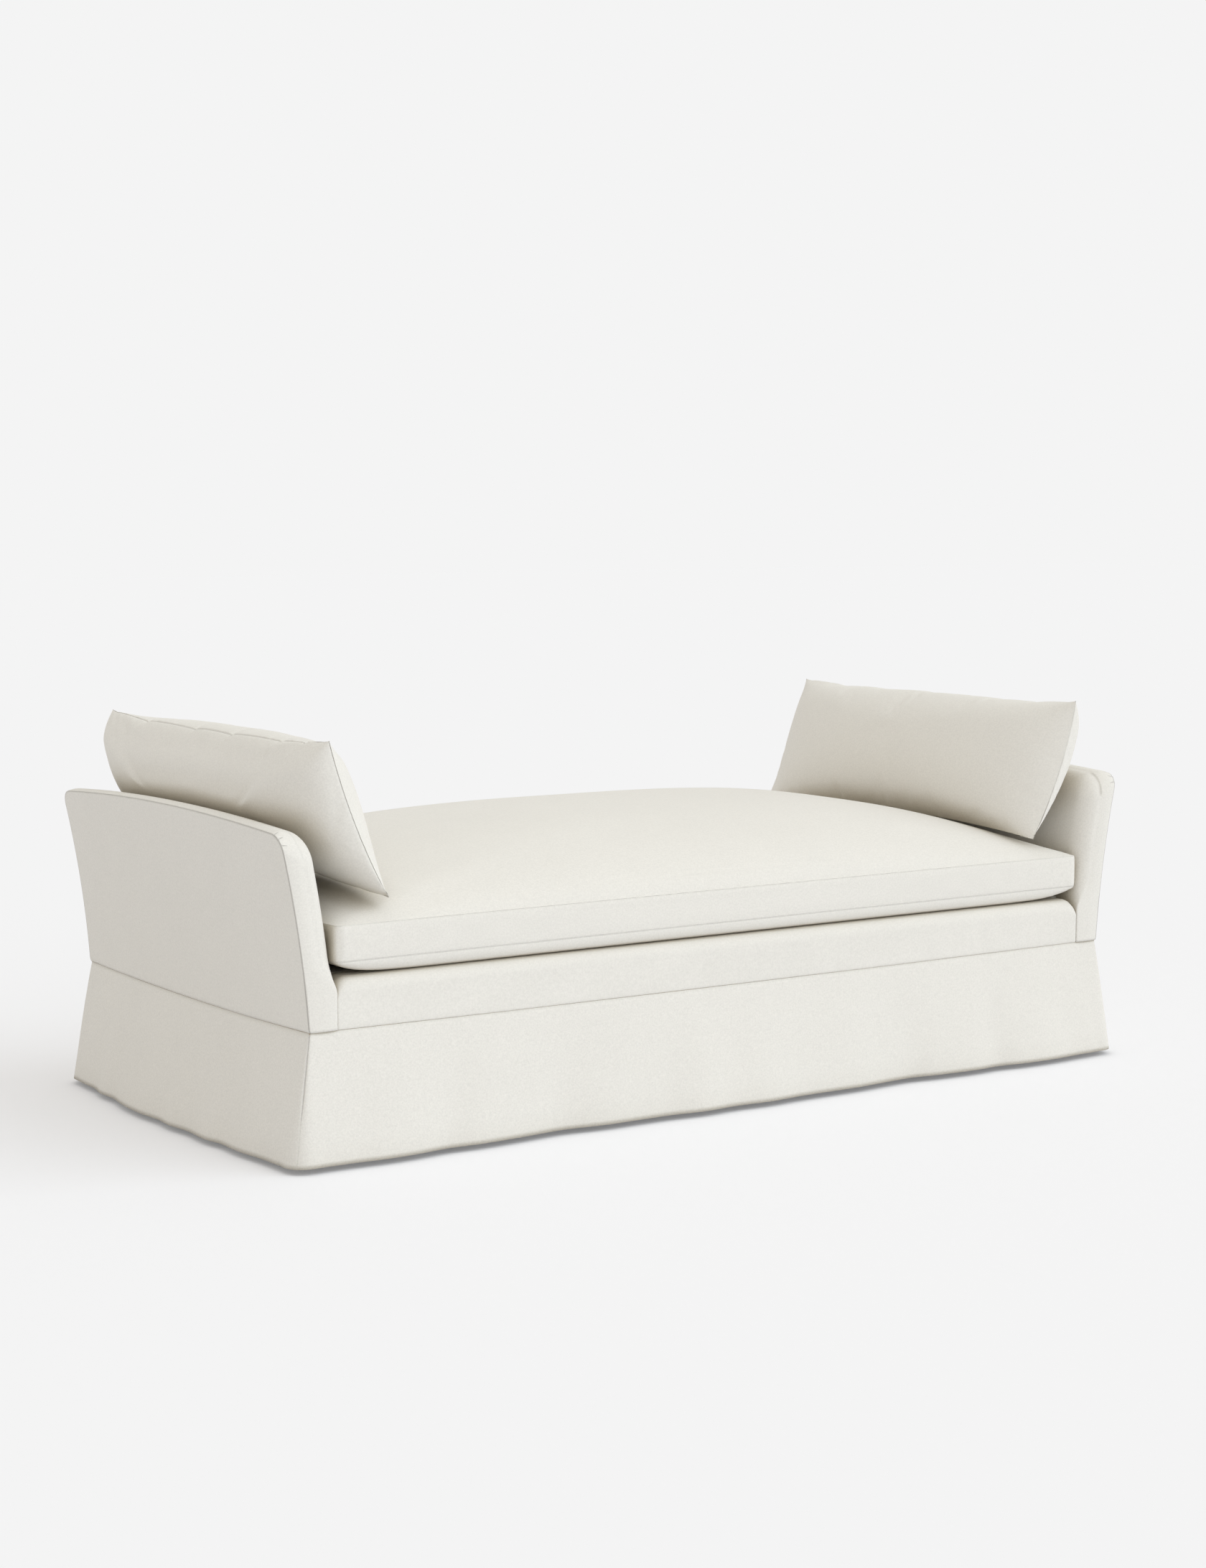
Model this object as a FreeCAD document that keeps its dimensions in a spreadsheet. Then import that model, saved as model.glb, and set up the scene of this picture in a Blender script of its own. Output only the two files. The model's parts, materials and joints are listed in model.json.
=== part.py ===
import FreeCAD, Part
import math
import os
import Sketcher
from FreeCAD import Rotation, Vector

# Backless divan with two flared ends, one bench cushion, two bolsters and a flat skirt.
# Millimetres. X runs along the length, -Y is the front and +Z is up.
# The origin is on the floor, under the middle of the divan.

os.makedirs("parts", exist_ok=True)
doc = FreeCAD.newDocument("backless_divan")

# Driving dimensions

SIZES = [
    ("waist_half_length", 1014, "middle to the end cover, at the seam above the skirt"),
    ("waist_half_depth", 505, "middle to the front cover"),
    ("waist_rise", 116, "underside of the timber frame to the seam above the skirt"),
    ("fit_gap", 0.3, "assembly clearance between pieces that only touch"),
    ("lift_gap", 1.6, "clearance under a loose cushion"),
    ("cover_thickness", 2, "cover cloth of the fixed upholstery"),
    ("frame_bottom", 150, "floor to the underside of the timber frame"),
    ("rail_height", 170, "front, back and end rails"),
    ("rail_thickness", 32, "front, back and end rails"),
    ("band_padding", 8, "wadding between a long rail and its cover"),
    ("cross_rail_height", 70, "cross rails under the springs"),
    ("cross_rail_thickness", 30, "cross rails under the springs"),
    ("cross_rail_spacing", 475, "middle cross rail to the next one"),
    ("block_side", 110, "short side of a corner block"),
    ("block_height", 36, "corner block"),
    ("leg_top_width", 56, "leg, where it meets the frame"),
    ("leg_foot_width", 42, "leg, at its foot"),
    ("leg_inset", 6, "leg from the inner faces of the rails"),
    ("glide_height", 6, "glide under a leg"),
    ("glide_radius", 14, "glide under a leg"),
    ("leg_bolt_radius", 4, "hanger bolt in a leg"),
    ("leg_bolt_embed", 40, "depth of a hanger bolt in a leg"),
    ("bolt_clearance", 0.25, "bolt shank in its hole, on the radius"),
    ("spring_count", 14, "zigzag springs in the seat"),
    ("spring_wire_radius", 2, "zigzag spring wire"),
    ("spring_seat", 12, "end run of a spring on its rail, from the rail's inner edge"),
    ("spring_width", 64, "zigzag spring across its bends"),
    ("spring_bends", 23, "half turns of a zigzag spring"),
    ("clip_width", 18, "spring clip along the rail"),
    ("clip_plate", 1.5, "spring clip sheet"),
    ("clip_length", 22, "spring clip across the rail"),
    ("clip_roof_length", 11, "the part of a clip that covers the wire"),
    ("tie_wire_radius", 1.2, "wire that ties the springs together"),
    ("tie_wire_offset", 165, "middle to a tie wire"),
    ("felt_thickness", 3, "felt between springs and foam"),
    ("deck_foam_thickness", 31, "foam under the deck cloth"),
    ("edge_roll_depth", 48, "foam roll on a long rail, front to back"),
    ("band_corner", 26, "rounded top edge of the band"),
    ("band_return", 66, "band cloth turned over the deck"),
    ("dust_cover_thickness", 0.8, "cloth under the frame"),
    ("arm_thickness", 62, "an end through its covers, at the waist"),
    ("arm_knee_rise", 7.35, "deck to the start of the inner face's curve"),
    ("arm_inner_lean", 0.1224, "lean of the inner face at the knee"),
    ("arm_inner_curl", 0.000147, "rate at which the inner face curls out"),
    ("arm_outer_lean", 0.068, "lean of the outer face at the waist"),
    ("arm_outer_curl", 0.000223, "rate at which the outer face curls out"),
    ("arm_rise", 394.5, "waist seam to the outer top seam, at mid depth"),
    ("arm_arch", 18, "drop of the top seam from mid depth to the corner"),
    ("arm_corner_radius", 35, "rounded top corner, seen from the end"),
    ("arm_round_height", 50, "rounded inner edge, its height"),
    ("arm_round_width", 38, "rounded inner edge, its width"),
    ("arm_top_crown", 4, "top surface above the outer seam"),
    ("arm_inner_padding", 12, "padding on the inner face, top and front of an end"),
    ("arm_outer_padding", 6, "padding on the outer face of an end"),
    ("arm_board_thickness", 4, "boards on the ribs of an end"),
    ("arm_rib_thickness", 22, "ribs of an end"),
    ("arm_core_drop", 1.5, "top of the ribs below the padding"),
    ("arm_top_rail_height", 42, "top rail of an end"),
    ("arm_bolt_radius", 4, "bolt between an end and the base frame"),
    ("arm_bolt_head_radius", 6.5, "bolt head across its corners"),
    ("arm_bolt_head_height", 5.3, "bolt head"),
    ("arm_bolt_inset", 113, "inner face of a long rail to the nearest bolt of an end"),
    ("arm_bolt_rise", 55, "underside of the frame to the bolts of an end"),
    ("washer_radius", 11, "bolt washer"),
    ("washer_thickness", 1.6, "bolt washer"),
    ("tee_nut_radius", 5.5, "barrel of a tee nut"),
    ("tee_nut_length", 12, "barrel of a tee nut"),
    ("tee_nut_flange_radius", 11, "flange of a tee nut"),
    ("tee_nut_flange", 1.5, "flange of a tee nut"),
    ("skirt_gap", 12, "floor to the hem"),
    ("skirt_thickness", 2.5, "skirt cloth and its lining"),
    ("skirt_end_flare", 34, "hem corner outside the waist, along the length"),
    ("skirt_front_flare", 7, "hem corner outside the waist, along the depth"),
    ("skirt_front_belly", 18, "hem at mid length, in front of the hem corners"),
    ("skirt_end_belly", 40, "hem at mid depth, outside the hem corners"),
    ("skirt_fold_depth", 7, "soft fold at the hem"),
    ("skirt_front_folds", 17, "soft folds of a long panel"),
    ("skirt_end_folds", 9, "soft folds of an end panel"),
    ("skirt_corner_gap", 0.6, "gap between two panels at a corner"),
    ("batten_height", 20, "batten behind the waist seam"),
    ("seat_end_gap", 1, "seat cushion from the inner face of an end"),
    ("seat_front_inset", 2, "seat cushion behind the front cover"),
    ("seat_border", 27.75, "underside of the seat cushion to its lower seam"),
    ("seat_boxing", 70, "lower seam to the upper seam"),
    ("seat_end_border", 4, "underside below the lower seam at the very ends"),
    ("seat_crown", 142, "upper seam to the top of the crown"),
    ("seat_side_draw", 3, "long sides drawn in between the corners"),
    ("seat_corner_round", 9, "rounded corner of the seat cushion in plan"),
    ("seat_bottom_curve", 55, "curved border of the bottom panel"),
    ("seat_cover_thickness", 2, "cover cloth of the seat cushion"),
    ("seat_core_end_inset", 51, "foam core from the end of the cushion"),
    ("seat_core_side_inset", 48, "foam core from the seams of the cushion"),
    ("seat_core_height", 70, "foam core"),
    ("seat_core_corner", 30, "rounded corners of the foam core"),
    ("seat_wrap_under", 8, "soft wrap under the foam core"),
    ("zip_half_length", 450, "middle to the end of the zip"),
    ("zip_width", 26, "zip tape"),
    ("zip_thickness", 1, "zip tape"),
    ("slider_length", 14, "zip slider"),
    ("slider_height", 9, "zip slider"),
    ("slider_thickness", 3, "zip slider"),
    ("pull_length", 24, "pull tab of the zip slider"),
    ("pull_thickness", 1.2, "pull tab of the zip slider"),
    ("bolster_foot_inset", 122, "bottom seam of a bolster from the inner face of an end"),
    ("bolster_head_lean", 3, "top seam of a bolster beyond the start of that face"),
    ("bolster_rest", 5.6, "bottom seam above the crown under it, at mid length"),
    ("bolster_bottom_arch", 21, "bottom seam at mid length, above its corners"),
    ("bolster_height", 305, "bottom corner of a bolster to its top corner"),
    ("bolster_top_sag", 9, "top seam at mid length, below its corners"),
    ("bolster_end_inset", 12, "end of a bolster from the seams of the seat cushion"),
    ("bolster_shift", 3, "middle of a bolster behind the middle of the divan"),
    ("bolster_front_swell", 113, "seam plane to the fullest point of a bolster, seat side"),
    ("bolster_back_swell", 102, "seam plane to the fullest point of a bolster, end side"),
    ("bolster_cover_thickness", 2, "cover cloth of a bolster"),
]


class Size:
    """A number from the sheet together with the formula that binds it."""

    def __init__(self, number, formula):
        self.number = number
        self.formula = formula

    def join(self, sign, other, number):
        return Size(number, f"({self.formula} {sign} {other.formula})")

    def __add__(self, other):
        other = as_size(other)
        return self.join("+", other, self.number + other.number)

    def __sub__(self, other):
        other = as_size(other)
        return self.join("-", other, self.number - other.number)

    def __mul__(self, other):
        other = as_size(other)
        return self.join("*", other, self.number * other.number)

    def __truediv__(self, other):
        other = as_size(other)
        return self.join("/", other, self.number / other.number)

    def __neg__(self):
        return Size(-self.number, f"(-{self.formula})")


def as_size(value):
    return value if isinstance(value, Size) else Size(float(value), repr(float(value)))


class Names:
    """Attributes that are filled from the list of sizes."""


sheet = doc.addObject("Spreadsheet::Sheet", "dims")
size = Names()
mm = Names()
for row, (alias, value, note) in enumerate(SIZES, start=1):
    sheet.set(f"A{row}", alias)
    sheet.set(f"B{row}", str(value))
    sheet.setAlias(f"B{row}", alias)
    sheet.set(f"C{row}", note)
    setattr(size, alias, Size(float(value), f"dims.{alias}"))
    setattr(mm, alias, float(value))
doc.recompute()


def derive(alias, value):
    """A size that follows from others, under a name of its own."""
    setattr(size, alias, value)
    setattr(mm, alias, value.number)


kept = []


def keep(item, label):
    item.Label = label
    kept.append(item)
    return item


# Sizes that follow from the driving ones

derive("rail_top", size.frame_bottom + size.rail_height)
derive("waist_height", size.frame_bottom + size.waist_rise)
derive("rail_face", size.waist_half_depth - size.cover_thickness - size.band_padding)
derive("rail_inner", size.rail_face - size.rail_thickness)
derive("arm_inner_start", size.waist_half_length - size.arm_thickness)
derive("frame_end", size.arm_inner_start - size.fit_gap)
derive("end_rail_inner", size.frame_end - size.rail_thickness)

derive("spring_half_span", size.rail_inner + size.spring_seat)
derive("spring_bend_radius", size.spring_half_span / size.spring_bends)
derive("wire_height", size.rail_top + size.clip_plate + size.spring_wire_radius + size.fit_gap / 2)
derive("felt_low", size.wire_height + size.spring_wire_radius + size.tie_wire_radius * 2 + size.fit_gap)
derive("foam_low", size.felt_low + size.felt_thickness)
derive("foam_high", size.foam_low + size.deck_foam_thickness)
derive("deck_height", size.foam_high + size.fit_gap + size.cover_thickness)

derive("arm_knee_height", size.deck_height + size.arm_knee_rise)
derive("arm_seam_height", size.waist_height + size.arm_rise)
derive("arm_bolt_height", size.frame_bottom + size.arm_bolt_rise)
derive("arm_bolt_spacing", size.rail_inner - size.arm_bolt_inset)

derive("seat_half_length", size.arm_inner_start - size.seat_end_gap)
derive("seat_half_depth", size.waist_half_depth - size.seat_front_inset)
derive("seat_bottom", size.deck_height + size.lift_gap)
derive("seat_lower_seam", size.seat_bottom + size.seat_border)
derive("seat_upper_seam", size.seat_lower_seam + size.seat_boxing)
derive("seat_core_half_length", size.seat_half_length - size.seat_core_end_inset)
derive("seat_core_half_depth", size.seat_half_depth - size.seat_core_side_inset)

derive("bolster_seam_bottom", size.arm_inner_start - size.bolster_foot_inset)
derive("bolster_seam_top", size.arm_inner_start + size.bolster_head_lean)
derive("bolster_half_length", size.seat_half_depth - size.bolster_end_inset)


# Ways to make a piece

def box(name, x, y, z):
    """A block between bound limits on each axis."""
    item = doc.addObject("Part::Box", name)
    for length, axis, limits in zip(("Length", "Width", "Height"), "xyz", (x, y, z)):
        low, high = as_size(limits[0]), as_size(limits[1])
        item.setExpression(length, (high - low).formula)
        item.setExpression(f"Placement.Base.{axis}", low.formula)
    return item


def rod(name, radius, length, place, turn):
    """A cylinder from a bound place, turned from +Z by the given rotation."""
    item = doc.addObject("Part::Cylinder", name)
    item.setExpression("Radius", as_size(radius).formula)
    item.setExpression("Height", as_size(length).formula)
    item.Placement.Rotation = turn
    settle(item, place)
    return item


def settle(item, place):
    """Bind the place of an object to the sheet."""
    for axis, value in zip("xyz", place):
        item.setExpression(f"Placement.Base.{axis}", as_size(value).formula)


def group(name, members):
    item = doc.addObject("Part::Compound", name)
    item.Links = members
    return item


def cut(name, base, tool):
    item = doc.addObject("Part::Cut", name)
    item.Base = base
    item.Tool = tool
    return item


def common(name, base, tool):
    item = doc.addObject("Part::Common", name)
    item.Base = base
    item.Tool = tool
    return item


def mirrored(name, source, normal):
    item = doc.addObject("Part::Mirroring", name)
    item.Source = source
    item.Normal = normal
    return item


def formed(name, shape):
    """A soft or bent form whose shape is worked out from the sheet."""
    item = doc.addObject("Part::Feature", name)
    item.Shape = shape
    return item


ALONG_X = Vector(1, 0, 0)
ALONG_Y = Vector(0, 1, 0)
UPWARD = Vector(0, 0, 1)
TO_X = Rotation(ALONG_Y, 90)
UPRIGHT = Rotation()


class Via:
    """A point that the arc between its two neighbours passes through."""

    def __init__(self, across, up):
        self.point = (as_size(across), as_size(up))


def sketch_on(body, role, outline=(), circles=()):
    """A sketch on one of the body's own planes, every point bound to the sheet."""
    sketch = body.newObject("Sketcher::SketchObject", f"{body.Name}_outline")
    plane = next(item for item in body.Origin.OriginFeatures if item.Role == role)
    sketch.AttachmentSupport = [(plane, "")]
    sketch.MapMode = "FlatFace"
    draw_outline(sketch, list(outline))
    for across, up, radius in circles:
        centre = (as_size(across), as_size(up))
        start = Vector(centre[0].number, centre[1].number, 0)
        ring = sketch.addGeometry(Part.Circle(start, UPWARD, as_size(radius).number))
        bind_point(sketch, ring, 3, centre)
        bind(sketch, "Radius", (ring,), as_size(radius))
    return sketch


def draw_outline(sketch, outline):
    corners = [spot for spot in outline if not isinstance(spot, Via)]
    corners = [(as_size(across), as_size(up)) for across, up in corners]
    edges = []
    index = 0
    for place, spot in enumerate(outline):
        if isinstance(spot, Via):
            continue
        first = flat(corners[index])
        index = (index + 1) % len(corners)
        last = flat(corners[index])
        after = outline[(place + 1) % len(outline)]
        if isinstance(after, Via):
            middle = flat(after.point)
            leftward = (middle - first).cross(last - first).z > 0
            ends = (first, last) if leftward else (last, first)
            edge = sketch.addGeometry(Part.Arc(ends[0], middle, ends[1]))
            mark = sketch.addGeometry(Part.Point(middle), True)
            sketch.addConstraint(Sketcher.Constraint("PointOnObject", mark, 1, edge))
            bind_point(sketch, mark, 1, after.point)
            edges.append((edge, 1, 2) if leftward else (edge, 2, 1))
        else:
            edges.append((sketch.addGeometry(Part.LineSegment(first, last)), 1, 2))
    for number, (edge, start, end) in enumerate(edges):
        following = edges[(number + 1) % len(edges)]
        sketch.addConstraint(
            Sketcher.Constraint("Coincident", edge, end, following[0], following[1])
        )
        bind_point(sketch, edge, start, corners[number])


def flat(point):
    return Vector(point[0].number, point[1].number, 0)


def bind_point(sketch, edge, end, point):
    bind(sketch, "DistanceX", (-1, 1, edge, end), point[0])
    bind(sketch, "DistanceY", (-1, 1, edge, end), point[1])


def bind(sketch, kind, where, value):
    number = sketch.addConstraint(Sketcher.Constraint(kind, *where, value.number))
    sketch.setExpression(f"Constraints[{number}]", value.formula)


def padded_body(name, role, outline, length, circles=(), both_ways=False, backwards=False):
    """A body made of one padded sketch."""
    body = doc.addObject("PartDesign::Body", name)
    sketch = sketch_on(body, role, outline, circles)
    pad = body.newObject("PartDesign::Pad", f"{name}_pad")
    pad.Profile = sketch
    if both_ways:
        pad.SideType = "Symmetric"
    pad.Reversed = backwards
    pad.setExpression("Length", as_size(length).formula)
    return body


def pocketed(body, role, circles, length, backwards):
    """Round holes of a bound depth, cut from one of the body's own planes."""
    sketch = sketch_on(body, role, circles=circles)
    pocket = body.newObject("PartDesign::Pocket", f"{body.Name}_holes")
    pocket.Profile = sketch
    pocket.Reversed = backwards
    pocket.setExpression("Length", as_size(length).formula)
    return pocket


def turned_body(name, outline):
    """A body of revolution about its own Z axis, from a half outline in X and Z."""
    body = doc.addObject("PartDesign::Body", name)
    sketch = sketch_on(body, "XZ_Plane", outline)
    turn = body.newObject("PartDesign::Revolution", f"{name}_turn")
    turn.Profile = sketch
    turn.ReferenceAxis = (sketch, ["V_Axis"])
    return body


def repeated(name, source, placements):
    """Copies of one piece at the given placements, as separate solids of one node."""
    doc.recompute()
    shapes = []
    for placement in placements:
        shape = source.Shape.copy()
        shape.Placement = placement.multiply(shape.Placement)
        shapes.append(shape)
    return formed(name, Part.Compound(shapes))


# Base frame: rails, cross rails and corner blocks

frame_heights = (size.frame_bottom, size.rail_top)
bolt_rows = (-1, 0, 1)


def base_rails():
    length = (-size.frame_end, size.frame_end)
    front = box("front_rail", length, (-size.rail_face, -size.rail_inner), frame_heights)
    back = box("back_rail", length, (size.rail_inner, size.rail_face), frame_heights)
    keep(front, "front_rail")
    keep(back, "back_rail")
    outline = [
        (-size.rail_inner, size.frame_bottom),
        (size.rail_inner, size.frame_bottom),
        (size.rail_inner, size.rail_top),
        (-size.rail_inner, size.rail_top),
    ]
    holes = [
        (size.arm_bolt_spacing * row, size.arm_bolt_height, size.arm_bolt_radius + size.bolt_clearance)
        for row in bolt_rows
    ]
    right = padded_body("right_end_rail", "YZ_Plane", outline, size.rail_thickness)
    pocketed(right, "YZ_Plane", holes, size.rail_thickness, True)
    settle(right, (size.end_rail_inner, 0, 0))
    keep(right, "right_end_rail")
    keep(mirrored("left_end_rail", right, ALONG_X), "left_end_rail")


def cross_rails():
    half = size.cross_rail_thickness / 2
    heights = (size.frame_bottom, size.frame_bottom + size.cross_rail_height)
    across = (-size.rail_inner, size.rail_inner)
    for label, side in (("left", -1), ("right", 1)):
        middle = size.cross_rail_spacing * side
        rail = box(f"{label}_cross_rail", (middle - half, middle + half), across, heights)
        keep(rail, f"{label}_cross_rail")
    low, high = across
    outline = [(-half, low), (half, low), (half, high), (-half, high)]
    bore = size.leg_bolt_radius + size.bolt_clearance
    holes = [(0, leg_y, bore), (0, -leg_y, bore)]
    centre = padded_body("centre_cross_rail", "XY_Plane", outline, size.cross_rail_height, holes)
    settle(centre, (0, 0, size.frame_bottom))
    keep(centre, "centre_cross_rail")


def quarters(right_front):
    """The four mirror images of a piece at the right front corner."""
    right_back = mirrored(f"{right_front.Name}_back", right_front, ALONG_Y)
    left_front = mirrored(f"{right_front.Name}_left", right_front, ALONG_X)
    left_back = mirrored(f"{right_front.Name}_left_back", left_front, ALONG_Y)
    return [right_front, right_back, left_front, left_back]


# A leg stands inside the corner of two rails, under its corner block

leg_half = size.leg_top_width / 2
leg_x = size.end_rail_inner - size.leg_inset - leg_half
leg_y = -size.rail_inner + size.leg_inset + leg_half
leg_top = size.frame_bottom
leg_foot = size.glide_height


def corner_blocks():
    """Triangular blocks in the frame's corners, each bored for the hanger bolt of its leg."""
    outline = [
        (size.end_rail_inner, -size.rail_inner),
        (size.end_rail_inner, -size.rail_inner + size.block_side),
        (size.end_rail_inner - size.block_side, -size.rail_inner),
    ]
    hole = [(leg_x, leg_y, size.leg_bolt_radius + size.bolt_clearance)]
    block = padded_body("corner_block", "XY_Plane", outline, size.block_height, hole)
    settle(block, (0, 0, size.frame_bottom))
    keep(group("corner_blocks", quarters(block)), "corner_blocks")


def tapered_leg(name):
    """A square leg that narrows to its foot, bored for its bolt, standing on z = 0 of its own."""
    body = doc.addObject("PartDesign::Body", name)
    height = leg_top - leg_foot
    foot_half = size.leg_foot_width / 2
    foot = sketch_on(body, "XY_Plane", square(foot_half))
    top = sketch_on(body, "XY_Plane", square(leg_half))
    top.setExpression("AttachmentOffset.Base.z", height.formula)
    loft = body.newObject("PartDesign::AdditiveLoft", f"{name}_loft")
    loft.Profile = foot
    loft.Sections = [top]
    hole = [(0, 0, size.leg_bolt_radius + size.bolt_clearance)]
    bore = sketch_on(body, "XY_Plane", circles=hole)
    bore.setExpression("AttachmentOffset.Base.z", (height - size.leg_bolt_embed).formula)
    pocket = body.newObject("PartDesign::Pocket", f"{name}_bore")
    pocket.Profile = bore
    pocket.Reversed = True
    pocket.setExpression("Length", size.leg_bolt_embed.formula)
    return body


def square(half):
    return [(-half, -half), (half, -half), (half, half), (-half, half)]


def legs():
    corner = tapered_leg("front_right_leg")
    settle(corner, (leg_x, leg_y, leg_foot))
    labels = ("front_right_leg", "back_right_leg", "front_left_leg", "back_left_leg")
    for item, label in zip(quarters(corner), labels):
        keep(item, label)
    middle = tapered_leg("front_centre_leg")
    settle(middle, (0, leg_y, leg_foot))
    centre = [middle, mirrored("back_centre_leg", middle, ALONG_Y)]
    keep(group("centre_legs", centre), "centre_legs")


def leg_spots():
    """Middle of each leg in plan."""
    spots = []
    for side in (-1, 0, 1):
        for depth in (1, -1):
            spots.append((leg_x.number * side, leg_y.number * depth))
    return spots


def leg_fittings():
    """Glides under the feet, and hanger bolts between the legs and the timber above them."""
    chamfer = size.glide_height / 3
    glide = turned_body("leg_glide", [
        (0, 0),
        (size.glide_radius - chamfer, 0),
        (size.glide_radius, chamfer),
        (size.glide_radius, size.glide_height),
        (0, size.glide_height),
    ])
    spots = [FreeCAD.Placement(Vector(x, y, 0), UPRIGHT) for x, y in leg_spots()]
    keep(repeated("leg_glides", glide, spots), "leg_glides")
    length = size.leg_bolt_embed + size.block_height
    shank = rod("leg_bolt", size.leg_bolt_radius, length, (0, 0, 0), UPRIGHT)
    low = leg_top.number - mm.leg_bolt_embed
    spots = [FreeCAD.Placement(Vector(x, y, low), UPRIGHT) for x, y in leg_spots()]
    keep(repeated("leg_bolts", shank, spots), "leg_bolts")


def dust_cover():
    """Cloth under the frame, cut out round the legs."""
    low = size.frame_bottom - size.dust_cover_thickness - size.fit_gap
    cloth = box("dust_cloth", (-size.frame_end, size.frame_end), (-size.rail_face, size.rail_face),
                (low, low + size.dust_cover_thickness))
    half = leg_half + size.fit_gap
    tools = []
    for number, side in enumerate((-1, 0, 1)):
        middle = leg_x * side
        for end, depth in enumerate((1, -1)):
            across = leg_y * depth
            tool = box(f"leg_opening_{number}_{end}", (middle - half, middle + half),
                       (across - half, across + half), (leg_foot, leg_top))
            tools.append(tool)
    keep(cut("dust_cover", cloth, group("leg_openings", tools)), "dust_cover")


# Springs: flat zigzags from the front rail to the back rail, each end in a clip

def spring_spots():
    pitch = 2 * size.end_rail_inner.number / mm.spring_count
    return [(number + 0.5) * pitch - size.end_rail_inner.number for number in range(int(mm.spring_count))]


def zigzag_spring():
    """Straight runs across the seat joined by half turns, from one clip to the other."""
    bend = mm.spring_bend_radius
    half_run = mm.spring_width / 2 - bend
    half_span = mm.spring_half_span
    side = 1
    edges = [Part.LineSegment(Vector(-half_run, -half_span, 0), Vector(half_run, -half_span, 0))]
    for number in range(int(mm.spring_bends)):
        start = Vector(side * half_run, number * 2 * bend - half_span, 0)
        end = start + Vector(0, 2 * bend, 0)
        edges.append(Part.Arc(start, start + Vector(side * bend, bend, 0), end))
        edges.append(Part.LineSegment(end, end - Vector(side * 2 * half_run, 0, 0)))
        side = -side
    path = Part.Wire([edge.toShape() for edge in edges])
    start = path.Vertexes[0].Point
    ring = Part.Wire([Part.Circle(start, ALONG_X, mm.spring_wire_radius).toShape()])
    return path.makePipeShell([ring], True, False)


def spring_clip():
    """A strip nailed to the rail, folded back over the wire from its seat side, on z = 0 of its own."""
    plate = size.clip_plate
    roof = plate + size.spring_wire_radius * 2 + size.fit_gap
    return padded_body("spring_clip", "YZ_Plane", [
        (0, 0),
        (size.clip_length, 0),
        (size.clip_length, plate),
        (plate, plate),
        (plate, roof),
        (size.clip_roof_length, roof),
        (size.clip_roof_length, roof + plate),
        (0, roof + plate),
    ], size.clip_width, both_ways=True)


def springs():
    wire = formed("zigzag_wire", zigzag_spring())
    height = size.wire_height.number
    spots = [FreeCAD.Placement(Vector(x, 0, height), UPRIGHT) for x in spring_spots()]
    keep(repeated("seat_springs", wire, spots), "seat_springs")
    clip = spring_clip()
    front_turn = Rotation(UPWARD, 180)
    fold = mm.spring_half_span - mm.spring_wire_radius - mm.clip_plate - mm.fit_gap / 2
    clips = []
    for x in spring_spots():
        clips.append(FreeCAD.Placement(Vector(x, -fold, mm.rail_top), front_turn))
        clips.append(FreeCAD.Placement(Vector(x, fold, mm.rail_top), UPRIGHT))
    keep(repeated("spring_clips", clip, clips), "spring_clips")
    rise = size.wire_height + size.spring_wire_radius + size.tie_wire_radius
    ties = []
    for label, side in (("front", -1), ("back", 1)):
        place = (-size.end_rail_inner, size.tie_wire_offset * side, rise)
        ties.append(rod(f"{label}_tie_wire", size.tie_wire_radius, size.end_rail_inner * 2, place, TO_X))
    keep(group("spring_tie_wires", ties), "spring_tie_wires")


# Deck: felt, foam, edge rolls and the cloth over them

band_inside = size.waist_half_depth - size.cover_thickness
roll_inner = band_inside - size.edge_roll_depth
band_edge = size.waist_half_depth - size.band_return


def deck_layers():
    across = (-roll_inner, roll_inner)
    felt = box("spring_felt", (-size.end_rail_inner, size.end_rail_inner), across,
               (size.felt_low, size.foam_low))
    keep(felt, "spring_felt")
    foam = box("deck_foam", (-size.frame_end, size.frame_end), across, (size.foam_low, size.foam_high))
    keep(foam, "deck_foam")
    cloth = box("deck_cover", (-size.frame_end, size.frame_end), (-band_edge, band_edge),
                (size.deck_height - size.cover_thickness, size.deck_height))
    keep(cloth, "deck_cover")


def edge_rolls():
    """Foam rolls on the long rails, rounded at the top outer edge, outside the deck foam."""
    low = size.rail_top + size.clip_plate * 2 + size.spring_wire_radius * 2 + size.fit_gap * 2
    outer = band_inside - size.fit_gap
    inner = roll_inner + size.fit_gap
    top = size.foam_high
    curve = size.band_corner - size.cover_thickness
    front = padded_body("front_edge_roll", "YZ_Plane", [
        (-outer, low),
        (-inner, low),
        (-inner, top),
        (-outer + curve, top),
        arc_middle(-outer + curve, top - curve, curve, -1),
        (-outer, top - curve),
    ], size.frame_end * 2, both_ways=True)
    keep(front, "front_edge_roll")
    keep(mirrored("back_edge_roll", front, ALONG_Y), "back_edge_roll")


def arc_middle(across, up, radius, side):
    """The middle of a quarter round above its centre, to one side of it."""
    share = math.sqrt(0.5)
    return Via(across + radius * (share * side), up + radius * share)


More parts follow.
